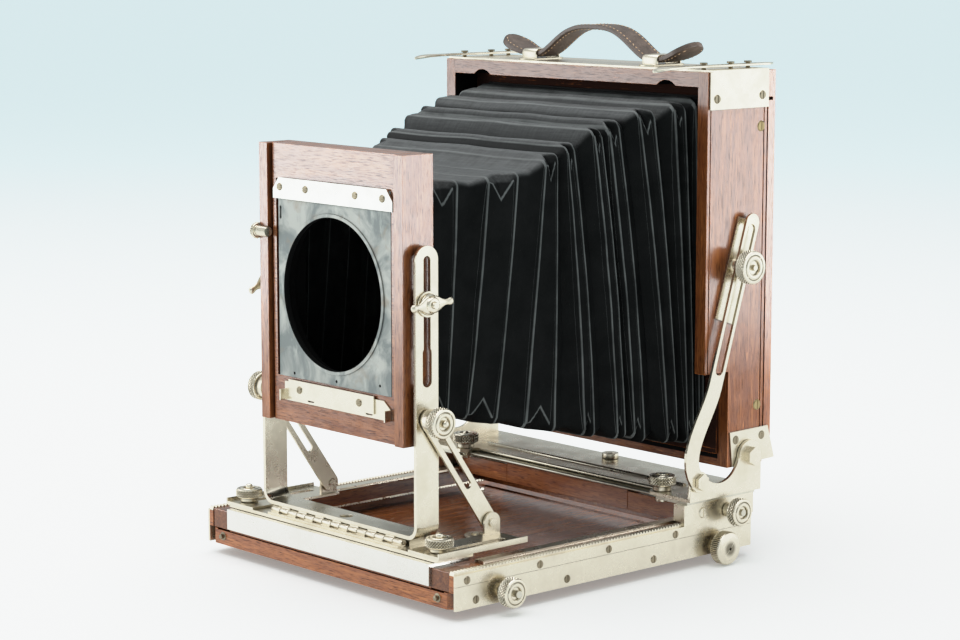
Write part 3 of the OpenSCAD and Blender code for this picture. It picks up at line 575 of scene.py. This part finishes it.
def ring(s, bead, a, b, gusseted):
    """One closed loop round the bellows, each point with its crease value and its height above the
    slanting edge of the nearest gusset. bead is 1 on a fold and 0 off it."""
    half_gap = (b - a) / 2
    t = 1 - min(1.0, abs(s - (a + b) / 2) / half_gap)
    depth = t * (GUSSET_SIDE_DEPTH if gusseted else pleat_depth(half_gap, 9.0, 2.0, 5.5))
    notch = t * GUSSET if gusseted else 0.0
    top_y, bottom_y = s + interpolate(s, TOP_LEAN), s + interpolate(s, BOTTOM_LEAN)
    drop = top_drop(s)
    top = interpolate(top_y, TOP_LINE) - drop
    bottom = interpolate(bottom_y, BOTTOM_LINE) + 0.7 * drop
    half_z = (top - bottom) / 2
    lift = BEAD * bead

    def y_at(z):
        k = max(-1.0, min(1.0, (z - (top + bottom) / 2) / half_z))
        up, down = top_y - s, bottom_y - s
        return s + (up - down) / 2 * k + (up + down) / 2 * k * k

    def half_width(y):
        return interpolate(y, SIDE_LINE) - depth

    def above_edge(reach):
        return (notch - reach) * 0.6 if gusseted else FAR

    def quarter(edge_y, edge_z, inward, sag):
        """From the middle of the top or bottom, round the corner and along the side to mid height."""
        flat = half_width(edge_y) - CORNER - GUSSET_LEAN * notch
        points = []
        for f in np.linspace(0.0, 1.0, 9):
            proud = 0.5 * lift - sag * sin(pi * f)
            points.append((flat * f, edge_y, edge_z - inward * proud, 0.85 * bead, FAR))
        for angle in (67, 45, 22):
            q = radians(angle)
            z = edge_z + inward * (CORNER * (1 - sin(q)) - 0.3 * lift)
            points.append((flat + CORNER * cos(q) + 0.7 * lift, edge_y, z, bead, above_edge(0.0)))
        for reach in (*np.linspace(0, GUSSET, 12), *np.linspace(19, half_z - CORNER, 6)):
            z = edge_z + inward * (CORNER + reach)
            x = half_width(y_at(z)) - GUSSET_LEAN * max(0.0, notch - reach - CORNER) + lift
            points.append((x, y_at(z), z, bead, above_edge(reach + CORNER)))
        return points

    right = quarter(top_y, top, -1, SAG) + quarter(bottom_y, bottom, 1, 0.0)[-2::-1]
    left = [(-x, *rest) for x, *rest in right[-2:0:-1]]
    loop = []
    for x, y, z, *marks in right + left:
        wave = WAVE * noise.noise(Vector((x * 0.035, y * 0.11, z * 0.035)))
        out = Vector((x, 0, z - MIDDLE_Z)).normalized() * wave
        loop.append((x + out.x, y, z + out.z, *marks))
    return loop


def shell_normals(points):
    along = np.gradient(points, axis=0)
    around = np.roll(points, -1, axis=1) - np.roll(points, 1, axis=1)
    n = np.cross(around, along)
    n /= np.maximum(np.linalg.norm(n, axis=2, keepdims=True), 1e-9)
    centre = points.mean(axis=1, keepdims=True)
    outside = np.sign(np.sum(n * (points - centre), axis=2, keepdims=True))
    return n * np.where(outside == 0, 1, outside)


RING_S = np.array([place[0] for place in ring_places()])
RINGS = np.array([ring(*place) for place in ring_places()])
POINTS, MARKINGS = RINGS[:, :, :3], RINGS[:, :, 3:]
NORMALS = shell_normals(POINTS)


def bellows_piece(name, start, end, stands_for):
    """The closed shell between two rings."""
    chosen = np.where((RING_S >= start - 1e-6) & (RING_S <= end + 1e-6))[0]
    outer = POINTS[chosen]
    inner = outer - NORMALS[chosen] * SHELL
    rows, count = outer.shape[:2]
    shift = rows * count
    faces = skin(rows, count)
    faces += [tuple(i + shift for i in face[::-1]) for face in faces]
    for first, step in ((0, 1), (shift - count, -1)):
        for j in range(count):
            a, b = first + j, first + (j + 1) % count
            faces.append((a, a + shift, b + shift, b)[::step])
    verts = np.concatenate([outer.reshape(-1, 3), inner.reshape(-1, 3)])
    obj = make(name, verts, faces, MATERIALS["bellows_cloth"], 60)
    crease, gusset = MARKINGS[chosen].reshape(-1, 2).T
    # The lining's folds get a weaker painted highlight than the outside.
    markings = {"crease": (crease, crease * LINING_FOLD_HIGHLIGHT), "gusset": (gusset, np.full(shift, FAR))}
    for label, values in markings.items():
        attribute = obj.data.attributes.new(label, "FLOAT", "POINT")
        attribute.data.foreach_set("value", np.concatenate(values).astype(np.float32))
    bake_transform(obj)
    if stands_for:
        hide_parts(*stands_for)


# A piece lies round each joint of the chain. The cuts share out the cloth by the joints' travel.
INNER_CUTS = (-64.4, -56, -53.2, -39.6, -16.5, 50.3, 62)
CUTS = [START, *(float(RING_S[np.argmin(np.abs(RING_S - s))]) for s in INNER_CUTS), END]
CHAIN = ["lens_standard", "rise", "yoke", "front_swing", "extension", "bed", "carriage"]
CHAIN += ["rear_swing", "case"]
STANDS_FOR = {0: ["bellows_front"], 4: ["bellows_mid"], 5: ["bellows_rear"], 7: ["bellows_case"]}
for i, (near_body, far_body) in enumerate(zip(CHAIN, CHAIN[1:])):
    piece_name = f"bellows_{i + 1}_{near_body}_to_{far_body}"
    bellows_piece(piece_name, CUTS[i], CUTS[i + 1], STANDS_FOR.get(i))

# ---------- hardware
# Turned and filed pieces are built along +Z and then laid on their axis.
TURN_X = Matrix.Rotation(radians(90), 4, "Y")
TURN_MINUS_X = Matrix.Rotation(radians(-90), 4, "Y")
UPRIGHT = Matrix.Identity(4)


class Shape:
    """Points and faces gathered from several parts, in millimetres."""

    def __init__(self):
        self.verts = []
        self.faces = []

    def add(self, verts, faces, matrix=UPRIGHT):
        start = len(self.verts)
        self.verts += [tuple(matrix @ Vector(v)) for v in verts]
        self.faces += [tuple(start + i for i in face) for face in faces]

    def weld(self):
        """Joins points that share a place, so that parts that meet become one skin."""
        found = {}
        index = [found.setdefault(tuple(round(c, 4) for c in v), len(found)) for v in self.verts]
        self.verts = list(found)
        self.faces = [tuple(index[i] for i in face) for face in self.faces]

    def build(self, name, body, material, slot, stands_for=(), sharp=35.0):
        obj = make(name, self.verts, self.faces, material, sharp)
        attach(obj, body)
        if stands_for:
            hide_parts(*stands_for)


def lathe(profile, segments=64, relief=None):
    """A surface of revolution about +Z. profile is (radius, height) from the foot outward and up to the
    top, closed on the axis or through the bore. relief(angle, height, row) is a radial offset."""
    verts, faces, rows = [], [], []
    angles = np.linspace(0, 2 * pi, segments, endpoint=False)
    for row, (radius, height) in enumerate(profile):
        first = len(verts)
        if radius == 0:
            verts.append((0.0, 0.0, height))
            rows.append([first] * segments)
            continue
        for angle in angles:
            r = radius + (relief(angle, height, row) if relief else 0.0)
            verts.append((r * cos(angle), r * sin(angle), height))
        rows.append(list(range(first, first + segments)))
    if profile[0][0] > 0:
        rows.append(rows[0])
    for near, far in zip(rows, rows[1:]):
        for j in range(segments):
            k = (j + 1) % segments
            faces.append(tuple(dict.fromkeys((near[j], near[k], far[k], far[j]))))
    return verts, faces


def triangle(value):
    """A zigzag between 1, at whole numbers, and 0, half way between them."""
    return abs(2 * (value % 1.0) - 1)


def knurled_knob(radius, height, neck, foot, bore, teeth, straight=False, domed=False):
    """A knob with a knurled rim between two smooth bands, on a neck that is foot high."""
    head, band = foot + height, 0.75
    low, high = foot + band, head - band
    profile = [(bore, 0.0), (neck - 0.25, 0.0), (neck, 0.25), (neck, foot - 0.3), (neck + 0.3, foot)]
    profile += [(radius - 1.1, foot), (radius - 0.55, foot + 0.2), (radius - 0.32, low - 0.15)]
    first = len(profile)
    rim = 13
    profile += [(radius - 0.28, z) for z in np.linspace(low, high, rim)]
    profile += [(radius - 0.32, high + 0.15), (radius - 0.6, head - 0.15), (radius - 1.1, head)]
    if domed:
        dome = 0.9
        for q in np.radians([12, 30, 50, 70, 84]):
            profile.append((0.86 * radius * cos(q), head + dome * sin(q)))
        profile.append((bore, head + dome))
    else:
        # a groove, a raised ring and a deep hollow, as (share of the radius, height)
        face = [(0.78, 0.0), (0.76, -0.3), (0.72, -0.3), (0.70, 0.0), (0.66, 0.25), (0.50, 0.25)]
        face += [(0.46, 0.0), (0.44, -1.3), (bore / radius, -1.3)]
        profile += [(share * radius, head + rise) for share, rise in face]
    pitch = 2 * pi * radius / teeth

    def relief(angle, z, row):
        if not first <= row < first + rim:
            return 0.0
        turn = angle * teeth / (2 * pi)
        rise = 0.0 if straight else (z - low) / pitch
        ridge = min(triangle(turn + rise), triangle(turn - rise))
        from_end = min(row - first, first + rim - 1 - row)
        return min(1.0, (from_end + 0.6) / 1.6) * (0.85 * min(1.0, 1.5 * ridge) - 0.50)

    return lathe(profile, teeth * 6, relief)


def rod(radius, start, end, dome=0.0, segments=32):
    """A rod along +Z with softened ends; the far end may be domed."""
    profile = [(0.0, start), (radius - 0.25, start), (radius, start + 0.25), (radius, end - dome - 0.2)]
    if dome:
        for q in np.radians([15, 40, 65]):
            profile.append((radius * cos(q), end - dome + dome * sin(q)))
    else:
        profile.append((radius - 0.2, end))
    return lathe([*profile, (0.0, end)], segments)


def threaded_rod(radius, start, end, pitch=0.9, depth=0.38):
    """A rod with V cuts round it, close enough together to read as a thread."""
    profile = [(0.0, start)]
    for i in range(int((end - start) / pitch)):
        at = start + i * pitch
        profile += [(radius - depth, at), (radius, at + 0.4 * pitch), (radius, at + 0.6 * pitch)]
    return lathe([*profile, (radius - depth, end), (0.0, end)], 32)


def side_hardware(node, body, x, *parts):
    """Parts on both sides of the camera, pointing outward from x on the axis of the CAD node they
    stand for."""
    shape = Shape()
    axis = centre_mm(node)
    for side, lay in ((1, TURN_X), (-1, TURN_MINUS_X)):
        for part in parts:
            shape.add(*part, Matrix.Translation((side * x, axis.y, axis.z)) @ lay)
    shape.build(node + "_turned", body, KNURLED, "nickel", [node])


def stand(shape, x, y, *parts):
    """Adds parts, each with the height of its foot, on one upright axis."""
    for part, foot in parts:
        shape.add(*part, Matrix.Translation((x, y, foot)))


BED_SIDE = 114.0
BED_LOCK_KNOB = knurled_knob(10, 7, 5, 2.6, 1.9, 52, straight=True, domed=True)
ARM_KNOB_HEIGHT = 9.0
side_hardware("bed_lock_knobs", "bed_lock", BED_SIDE + 0.7, BED_LOCK_KNOB, rod(2.0, -18.7, 9.6))
side_hardware("front_focus_knobs", "front_focus", BED_SIDE + 0.5, knurled_knob(8.5, 7, 4.2, 3.6, 2.05, 28))
side_hardware("rear_focus_knobs", "rear_focus", BED_SIDE + 0.9, knurled_knob(8.5, 6.4, 4.4, 6.4, 2.05, 28))
STRUT_KNOB = knurled_knob(8.75, 6.5, 7.0, 5.0, 2.12, 30)
side_hardware("strut_knobs", "strut_lock", 73.7, STRUT_KNOB, rod(2.1, -2.4, 13.8, 1.2))
arm_knob_x = box_mm("arm_knobs")[1].x - ARM_KNOB_HEIGHT
side_hardware("arm_knobs", "arm_lock", arm_knob_x, knurled_knob(10, ARM_KNOB_HEIGHT - 2, 6, 2, 1.8, 34))
LOCK_KNOB = knurled_knob(8.3, 6, 5.6, 3.2, 2.12, 28)
for node, body in (("swing_lock_left", "swing_lock_l"), ("swing_lock_right", "swing_lock_r")):
    axis, (low, high) = centre_mm(node), box_mm(node)
    stud, collar = rod(2.1, low.z, high.z, 1.2), rod(4.2, low.z, low.z + 1.8)
    shape = Shape()
    stand(shape, axis.x, axis.y, (LOCK_KNOB, 37.15), (stud, 0), (collar, 0))
    shape.build(node + "_turned", body, KNURLED, "nickel", [node])
low, high = box_mm("bracket_screws")
shape = Shape()
for side in (-1, 1):
    radius = 8.0
    knob, stud = knurled_knob(radius, 5.5, 5.5, 2.4, 2.17, 28), rod(2.15, low.z, high.z, 1.2)
    stand(shape, side * (high.x - radius), (low.y + high.y) / 2, (knob, 27.5), (stud, 0))
shape.build("bracket_screws_turned", "front_swing", KNURLED, "nickel", ["bracket_screws"])
axis, knob_end = centre_mm("panel_lock_knob"), box_mm("panel_lock_knob")[0].x
place = Matrix.Translation((knob_end + 2.9, axis.y, axis.z)) @ TURN_MINUS_X
shape = Shape()
shape.add(*threaded_rod(3.1, -9.4, 0.3), place)
shape.add(*knurled_knob(4.8, 2.8, 3.1, 0.1, 1.22, 22, straight=True), place)
shape.add(*rod(1.2, -0.2, 3.0, 0.5), place)
shape.build("panel_lock_knob_turned", "panel_lock", KNURLED, "brass", ["panel_lock_knob"])


def wing_nut_shape():
    """A hub with two narrow wings that swell into round tips, built along +Z with the wings along X."""
    shape = Shape()
    hub = [(2.1, 0.0), (5.9, 0.0), (6.2, 0.3), (6.0, 1.0), (4.9, 1.8), (4.4, 3.9), (4.0, 4.5), (3.6, 4.7)]
    shape.add(*lathe([*hub, (2.1, 4.7)], 40))
    # along the wing, rise above the washer, half width, half thickness
    spine = [
        (2.2, 2.3, 5.0, 1.2), (3.6, 2.35, 4.7, 1.15), (5.6, 2.4, 3.7, 1.05), (7.6, 2.5, 2.5, 0.95),
        (9.4, 2.6, 1.75, 0.95), (11.0, 2.7, 1.7, 1.2), (12.6, 2.8, 2.2, 1.6), (13.8, 2.8, 2.2, 1.6),
        (14.7, 2.8, 1.6, 1.2), (15.2, 2.8, 0.6, 0.4),
    ]
    rings = []
    for along, rise, half_width, half_thick in spine:
        turns = np.linspace(0, 2 * pi, 20, endpoint=False)
        rings.append([(along, half_width * cos(q), rise + half_thick * sin(q)) for q in turns])
    shape.add(*loft(rings))
    shape.add(*loft(rings), Matrix.Rotation(pi, 4, "Z"))
    return shape


WING_NUT = wing_nut_shape()
WING_NUT_X = box_mm("wing_nut_right")[0].x
for node, body, turn, side, lay in (
    ("wing_nut_right", "wing_right", -86, 1, TURN_X),
    ("wing_nut_left", "wing_left", 62, -1, TURN_MINUS_X),
):
    axis = centre_mm(node)
    place = Matrix.Translation((side * WING_NUT_X, axis.y, axis.z)) @ lay
    shape = Shape()
    shape.add(WING_NUT.verts, WING_NUT.faces, place @ Matrix.Rotation(radians(turn), 4, "Z"))
    shape.build(node + "_filed", body, NICKEL, "nickel", [node])

# Two stop pins stand out of the bed's front rail.
PIN_X, PIN_Z, PIN_SUNK = 99.0, 5.2, 1.0
shape = Shape()
for x in (-PIN_X, PIN_X):
    place = Matrix.Translation((x, bed_low.y + PIN_SUNK, PIN_Z)) @ Matrix.Rotation(pi / 2, 4, "X")
    shape.add(*rod(1.5, 0.0, 3.4, 0.5, 24), place)
    shape.add(*lathe([(0.0, 0.4), (2.6, 0.4), (2.6, 1.15), (2.3, 1.3), (0.0, 1.3)], 28), place)
shape.build("front_stop_pins", "bed", SCREW, "nickel")

# The cross bar runs on to the side blocks: deep between the extension's rails, shallow above them.
bar_low, bar_high = box_mm("carriage_bar")
RAIL_INNER, BLOCK_INNER = 96.4, 105.6
OVER_RAIL, UNDER_LOCKS = 22.6, 30.1
BAR_EDGE = 0.3  # its chamfer
start = bar_high.x + 0.02
outline = [(start, bar_low.z), (RAIL_INNER, bar_low.z), (RAIL_INNER, OVER_RAIL), (BLOCK_INNER, OVER_RAIL)]
outline += [(BLOCK_INNER, UNDER_LOCKS), (start, UNDER_LOCKS)]
levels = [(bar_low.y, BAR_EDGE), (bar_low.y + BAR_EDGE, 0.0)]
levels += [(bar_high.y - BAR_EDGE, 0.0), (bar_high.y, BAR_EDGE)]
shape = Shape()
for side in (-1, 1):
    rings = []
    for y, inset in levels:
        points = []
        for i, (x, z) in enumerate(outline):
            x += inset if i in (0, 5) else -inset
            points.append((side * x, y, z + (inset if i < 4 else -inset)))
        rings.append(points)
    shape.add(*loft(rings))
shape.build("carriage_bar_ends", "carriage", WOODS["carriage_bar"], "mahogany")

# ---------- handle and bars
TOP_Z = box_mm("case_top_plate")[1].z
strap_low, strap_high = box_mm("handle_strap")
STRAP_Y = (strap_low.y + strap_high.y) / 2
STRAP_HALF = (strap_high.y - strap_low.y) / 2
STRAP_THICK = 3.0
STRAP_LOW = strap_low.z + STRAP_THICK / 2
ARCH_HALF, ARCH_RISE = 51.0, 18.6
LOOP_X = 53.0
TONGUE_X, TONGUE_SWELL = 58.0, 2.4  # where a tongue begins to widen, and by how much
TIP_X, TIP_ROUND = 82.0, 10.0


def strap_height(x):
    """Centre line of the strap above the bed: one arch, and a tongue that curls up past each loop."""
    x = abs(x)
    if x <= ARCH_HALF:
        return STRAP_LOW + ARCH_RISE * (0.5 + 0.5 * cos(pi * (x / ARCH_HALF) ** 1.5))
    return STRAP_LOW + (x - ARCH_HALF) ** 2 * 0.011


def strap_half_width(x):
    x = abs(x)
    if x < TONGUE_X:
        return STRAP_HALF
    swell = STRAP_HALF + TONGUE_SWELL * sin(min(1.0, (x - TONGUE_X) / 16) * pi / 2)
    start = TIP_X - TIP_ROUND
    if x <= start:
        return swell
    return swell * sqrt(max(0.0, 1 - ((x - start) / (TIP_ROUND + 0.05)) ** 2)) + 0.05


def strap_half_thick(x):
    """The tongues beyond the loops are a little thicker than the arch."""
    return STRAP_THICK / 2 * interpolate(abs(x), [(60, 1.0), (70, 1.2), (TIP_X - 2, 1.2), (TIP_X, 1.0)])


def strap_ring(x, outline):
    """The points of a section at x, square to the strap. The outline is in (across, up)."""
    slope = (strap_height(x + 0.05) - strap_height(x - 0.05)) / 0.1
    length = hypot(1, slope)
    middle, up = Vector((x, STRAP_Y, strap_height(x))), Vector((-slope / length, 0, 1 / length))
    return [middle + Vector((0, across, 0)) + up * lift for across, lift in outline]


def strap_places():
    """The x of the strap's sections, closest together round the tips."""
    tips = [TIP_X - d for d in (0.0, 0.25, 0.8, 1.6, 2.8, 4.4, 6.4, 9.0)]
    side = sorted([*np.arange(56, TIP_X - 9.5, 1.6), *tips])
    return [-x for x in side[::-1]] + list(np.arange(-54, 54.1, 1.5)) + side


def strap_outline(half, thick):
    """A section as (across, up): rounded cut edges and slightly cupped faces."""
    top, bottom = [], []
    for f in np.linspace(-1, 1, 13):
        rounded = thick - 0.45 * (max(0.0, abs(f) - 0.9) / 0.1) ** 2
        cup = 0.25 * (1 - f * f)
        top.append((f * half, rounded - cup))
        bottom.append((f * half, -rounded - cup))
    edge = half + 0.12
    return top + [(edge, 0.4), (edge, -0.4)] + bottom[::-1] + [(-edge, -0.4), (-edge, 0.4)]


def strap_shape():
    shape = Shape()
    rings = []
    for x in strap_places():
        rings.append(strap_ring(x, strap_outline(strap_half_width(x), strap_half_thick(x))))
    shape.add(*loft(rings))
    return shape


def stitching_shape():
    """Waxed thread: a run of short stitches near each long edge, on both faces of the strap."""
    shape = Shape()
    inset, step, length, radius = 2.3, 3.1, 2.2, 0.34
    turns = np.linspace(0, 2 * pi, 6, endpoint=False)
    path = np.linspace(-TIP_X + 3.2, TIP_X - 3.2, 1600)
    heights = np.array([strap_height(x) for x in path])
    run = np.concatenate([[0], np.cumsum(np.hypot(np.diff(path), np.diff(heights)))])
    for at, edge, face in product(np.arange(0.0, run[-1] - length, step), (-1, 1), (-1, 1)):
        rings = []
        for d, swell, sink in ((0, 0.45, 0.25), (length / 2, 1.0, 0.0), (length, 0.45, 0.25)):
            x = float(np.interp(at + d, run, path))
            across = edge * max(0.8, strap_half_width(x) - inset)
            sit = face * (strap_half_thick(x) - sink) - (0.08 if face > 0 else 0.12)
            r = radius * swell
            circle = [(across + r * cos(q), sit + r * sin(q)) for q in turns]
            rings.append(strap_ring(x, circle))
        shape.add(*loft(rings))
    return shape


strap_shape().build("handle_strap_leather", "case", MATERIALS["leather"], "leather", ["handle_strap"], 45)
stitching_shape().build("handle_strap_stitching", "case", thread("waxed_thread"), "leather", (), 60)


def bracket_shape():
    """Each bracket: a round-ended foot on the top plate and a bent band over the strap."""
    shape = Shape()
    half, top, corner, thick = STRAP_HALF + 0.5, 293.3, 1.6, 1.1

    def bend(radius):
        """The band's line over the strap, as (across, z)."""
        arc = []
        for q in np.linspace(0, pi / 2, 7):
            arc.append((half - corner + radius * cos(q), top - corner + radius * sin(q)))
        line = [(-across, z) for across, z in arc] + arc[::-1]
        return [(line[0][0], TOP_Z + 0.9), *line, (line[-1][0], TOP_Z + 0.9)]

    outer, inner = bend(corner + thick), bend(corner)
    foot = []
    for q in np.linspace(0, 2 * pi, 48, endpoint=False):
        foot.append((6.6 * cos(q), copysign(10.6, sin(q)) + 6.0 * sin(q)))
    for x in (-LOOP_X, LOOP_X):
        rings = []
        for z, k in ((0.0, 1.0), (0.75, 1.0), (1.0, 0.965)):
            rings.append([(x + k * dx, STRAP_Y + k * dy, TOP_Z + z) for dx, dy in foot])
        shape.add(*loft(rings))
        rings = []
        for dx, shrink in ((-6.2, 0.12), (-6.0, 0.0), (6.0, 0.0), (6.2, 0.12)):
            points = []
            for line, way in ((outer, -shrink), (inner[::-1], shrink)):
                for across, z in line:
                    points.append((x + dx, STRAP_Y + across * (1 + way / 12), z + way / 2))
            rings.append(points)
        shape.add(*loft(rings))
    return shape


bracket_shape().build("handle_loops", "case", NICKEL, "nickel", ["handle_brackets"], 30)


def latch_bar_shape():
    """Each bar: a slotted strip with a cupped, leaf-shaped tongue reaching past the front of the case."""
    shape = Shape()
    low, high = box_mm("latch_bars")
    front, back = low.y, high.y
    bar_x = high.x - 4.0
    widest = 5.3
    tongue = [(0, 0.25), (0.5, 1.1), (2, 2.3), (5, 3.9), (9, 5.0), (13, widest), (18, 4.9), (23, 4.2)]
    tail = [(8, 3.9), (4, 3.2), (1.5, 1.9), (0.4, 0.9), (0, 0.25)]
    outline = [(front + d, w) for d, w in [*tongue, (28, 3.9)]] + [(back - d, w) for d, w in tail]
    slot_start, slot_end, slot_r = front + 28, back - 16, 1.55
    places = [y for y, _ in outline] + list(np.linspace(front + 1, front + 26, 18))
    for d in (0.0, 0.25, 0.7, slot_r):
        places += [slot_start - slot_r + d, slot_end + slot_r - d]
    shares = (0.0, 0.25, 0.5, 0.75, 0.94, 1.0)

    def slot_at(y):
        past = max(slot_start - y, y - slot_end, 0.0)
        return sqrt(slot_r**2 - past**2) if past < slot_r - 1e-4 else 0.0

    def section(y, half):
        """One half of a bar's section, from the slot out over the top and back underneath."""
        width, hole = interpolate(y, outline), slot_at(y)
        bend = 1.6 * max(0.0, 1 - (y - front) / 30) ** 2
        points = []
        for face_z, chamfer, across in ((high.z, -0.15, shares), (low.z, 0.15, shares[::-1])):
            for f in across:
                x = hole + (width - hole) * f
                cupped = 0.7 * (x / widest) ** 2 * max(0.0, 1 - (y - front) / 28)
                points.append((half * x, y, face_z - bend + cupped + (chamfer if f == 1 else 0.0)))
        return points

    for side, half in product((-1, 1), (-1, 1)):
        verts, faces = loft([section(y, half) for y in sorted(set(round(y, 3) for y in places))])
        # Where there is no slot the halves are one, so the faces between them go.
        faces = [face for face in faces if any(verts[i][0] for i in face)]
        shape.add(verts, faces, Matrix.Translation((side * bar_x, 0, 0)))
    shape.weld()
    return shape


latch_bar_shape().build("latch_bars_filed", "bars", NICKEL, "nickel", ["latch_bars"], 30)

# A black board closes the gap between the bellows' last fold and the walls of the case.
BOARD_Y = (94.6, 96.4)
IN_WALL = 0.3
outer_rim = (case_high.x - WALL + IN_WALL, case_low.z + WALL - IN_WALL, case_high.z - WALL + IN_WALL)
inner_rim = (96.5, 64.5, 269.0)
corners = []
for y in BOARD_Y:
    for half_x, z0, z1 in (outer_rim, inner_rim):
        corners += [(-half_x, y, z0), (half_x, y, z0), (half_x, y, z1), (-half_x, y, z1)]
sides = []
for i in range(4):
    k = (i + 1) % 4
    sides += [(i, k, 4 + k, 4 + i), (8 + k, 8 + i, 12 + i, 12 + k)]
    sides += [(4 + i, 4 + k, 12 + k, 12 + i), (k, i, 8 + i, 8 + k)]
board = Shape()
board.add(corners, sides)
board.build("bellows_rear_board", "case", MATERIALS["blackened_board"], "mahogany")

# ---------- stage


def stage_material():
    """Pale floor: near white round the object, running into the pale blue of the room."""
    net = Net("studio_floor")
    distance = net.vector("LENGTH", net.add("TexCoord").outputs["Object"])
    far = net.remap(distance, 0.45, 2.8)
    colour = net.mix(far, rgb(0.93, 0.94, 0.93), rgb(0.80, 0.92, 0.94))
    return net.finish(
        colour,
        0.55,
        Specular_IOR_Level=0.2,
        Emission_Color=net.mix(far, rgb(0.88, 0.92, 0.90), rgb(0.62, 0.92, 1.0)),
        Emission_Strength=net.remap(far, 0.0, 1.0, 0.27, 0.50),
    )


FLOOR_HALF = 60000.0
corners = [(x * FLOOR_HALF, y * FLOOR_HALF, 0.0) for x, y in ((-1, -1), (1, -1), (1, 1), (-1, 1))]
floor_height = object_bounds()[0][2]
floor = make("studio_floor", corners, [(0, 1, 2, 3)], stage_material())
floor.location.z = floor_height

world = bpy.data.worlds.new("studio_room")
world.use_nodes = True
nodes, link = world.node_tree.nodes, world.node_tree.links.new
# What the camera sees beyond the floor is the floor's own far colour, so that no horizon shows.
room, seen = nodes["Background"], nodes.new("ShaderNodeBackground")
for light, *values in ((room, rgb(0.86, 0.94, 0.965), 0.65), (seen, rgb(0.71, 0.92, 1.0), 1.12)):
    light.inputs["Color"].default_value, light.inputs["Strength"].default_value = values
mixed = nodes.new("ShaderNodeMixShader")
link(nodes.new("ShaderNodeLightPath").outputs["Is Camera Ray"], mixed.inputs[0])
link(room.outputs[0], mixed.inputs[1])
link(seen.outputs[0], mixed.inputs[2])
link(mixed.outputs[0], nodes["World Output"].inputs[0])
scene.world = world

METALS = {m.name for m in (NICKEL, KNURLED, BRIGHT, SCREW)}
METALS |= {MATERIALS[slot].name for slot in ("dark_nickel", "brass", "board_metal")}
meshes = [obj for obj in scene.objects if obj.type == "MESH"]
metal_pieces = [obj for obj in meshes if obj.data.materials[0].name in METALS]
bellows_pieces = [obj for obj in meshes if obj.name.startswith("bellows_")]


def light_group(name, pieces, state):
    """The pieces that a light is linked to: state INCLUDE for only these, EXCLUDE for all but these."""
    group = bpy.data.collections.new(name)
    for piece in pieces:
        group.objects.link(piece)
    for member in group.collection_objects:
        member.light_linking.link_state = state
    return group


WOOD_BACK = light_group("lit_from_the_back", [floor] + metal_pieces + bellows_pieces, "EXCLUDE")
WOOD_FRONT = light_group("lit_from_the_front", [floor] + metal_pieces, "EXCLUDE")
METAL = light_group("lit_for_metal", metal_pieces, "INCLUDE")


def aim(obj, place, target):
    """Puts a light or a camera at place, in metres, looking at target."""
    obj.location = place
    obj.rotation_euler = (Vector(target) - Vector(place)).to_track_quat("-Z", "Y").to_euler()
    scene.collection.objects.link(obj)


def softbox(name, place, target, width, height, watts, group=None):
    """A rectangular light that the camera doesn't see."""
    light = bpy.data.lights.new(name, "AREA")
    light.shape = "RECTANGLE"
    light.size, light.size_y = width, height
    light.energy = watts
    obj = bpy.data.objects.new(name, light)
    obj.visible_camera = False
    if group:
        obj.light_linking.receiver_collection = group
    aim(obj, place, target)


CENTRE = (0.0, 0.0, 0.12)
softbox("box_over", (-0.25, -0.15, 1.9), CENTRE, 2.4, 2.4, 48)
softbox("box_left_front", (-0.74, -0.69, 0.25), CENTRE, 0.62, 0.50, 12, WOOD_FRONT)
softbox("box_right_back", (0.62, 0.56, 0.27), (0.0, 0.0, 0.27), 0.60, 0.50, 14, WOOD_BACK)
softbox("box_metal_front", (-0.9, -0.84, 0.40), CENTRE, 1.3, 0.9, 5.5, METAL)
softbox("box_metal_back", (0.9, 0.80, 0.40), CENTRE, 1.3, 0.9, 4.5, METAL)

camera_data = bpy.data.cameras.new("camera")
camera_data.lens = 97.7
camera_data.sensor_width = 36.0
camera_data.clip_end = 200.0
camera = bpy.data.objects.new("camera", camera_data)
aim(camera, (1.1524, -1.0315, 0.3676), (-0.0143, 0.0139, 0.1337))
scene.camera = camera
scene.view_settings.view_transform = "Standard"
scene.view_settings.look = "None"

# A soft shoulder: plated metal facing a light rolls off towards white instead of clipping.
WHITE = 4.0
SHOULDER = [(0.10, 0.395), (0.16, 0.59), (0.22, 0.75), (0.30, 0.865), (0.42, 0.94), (0.65, 0.985)]
scene.view_settings.use_curve_mapping = True
curves = scene.view_settings.curve_mapping
curves.white_level = (WHITE, WHITE, WHITE)
for point in SHOULDER:
    curves.curves[3].points.new(*point)
curves.update()
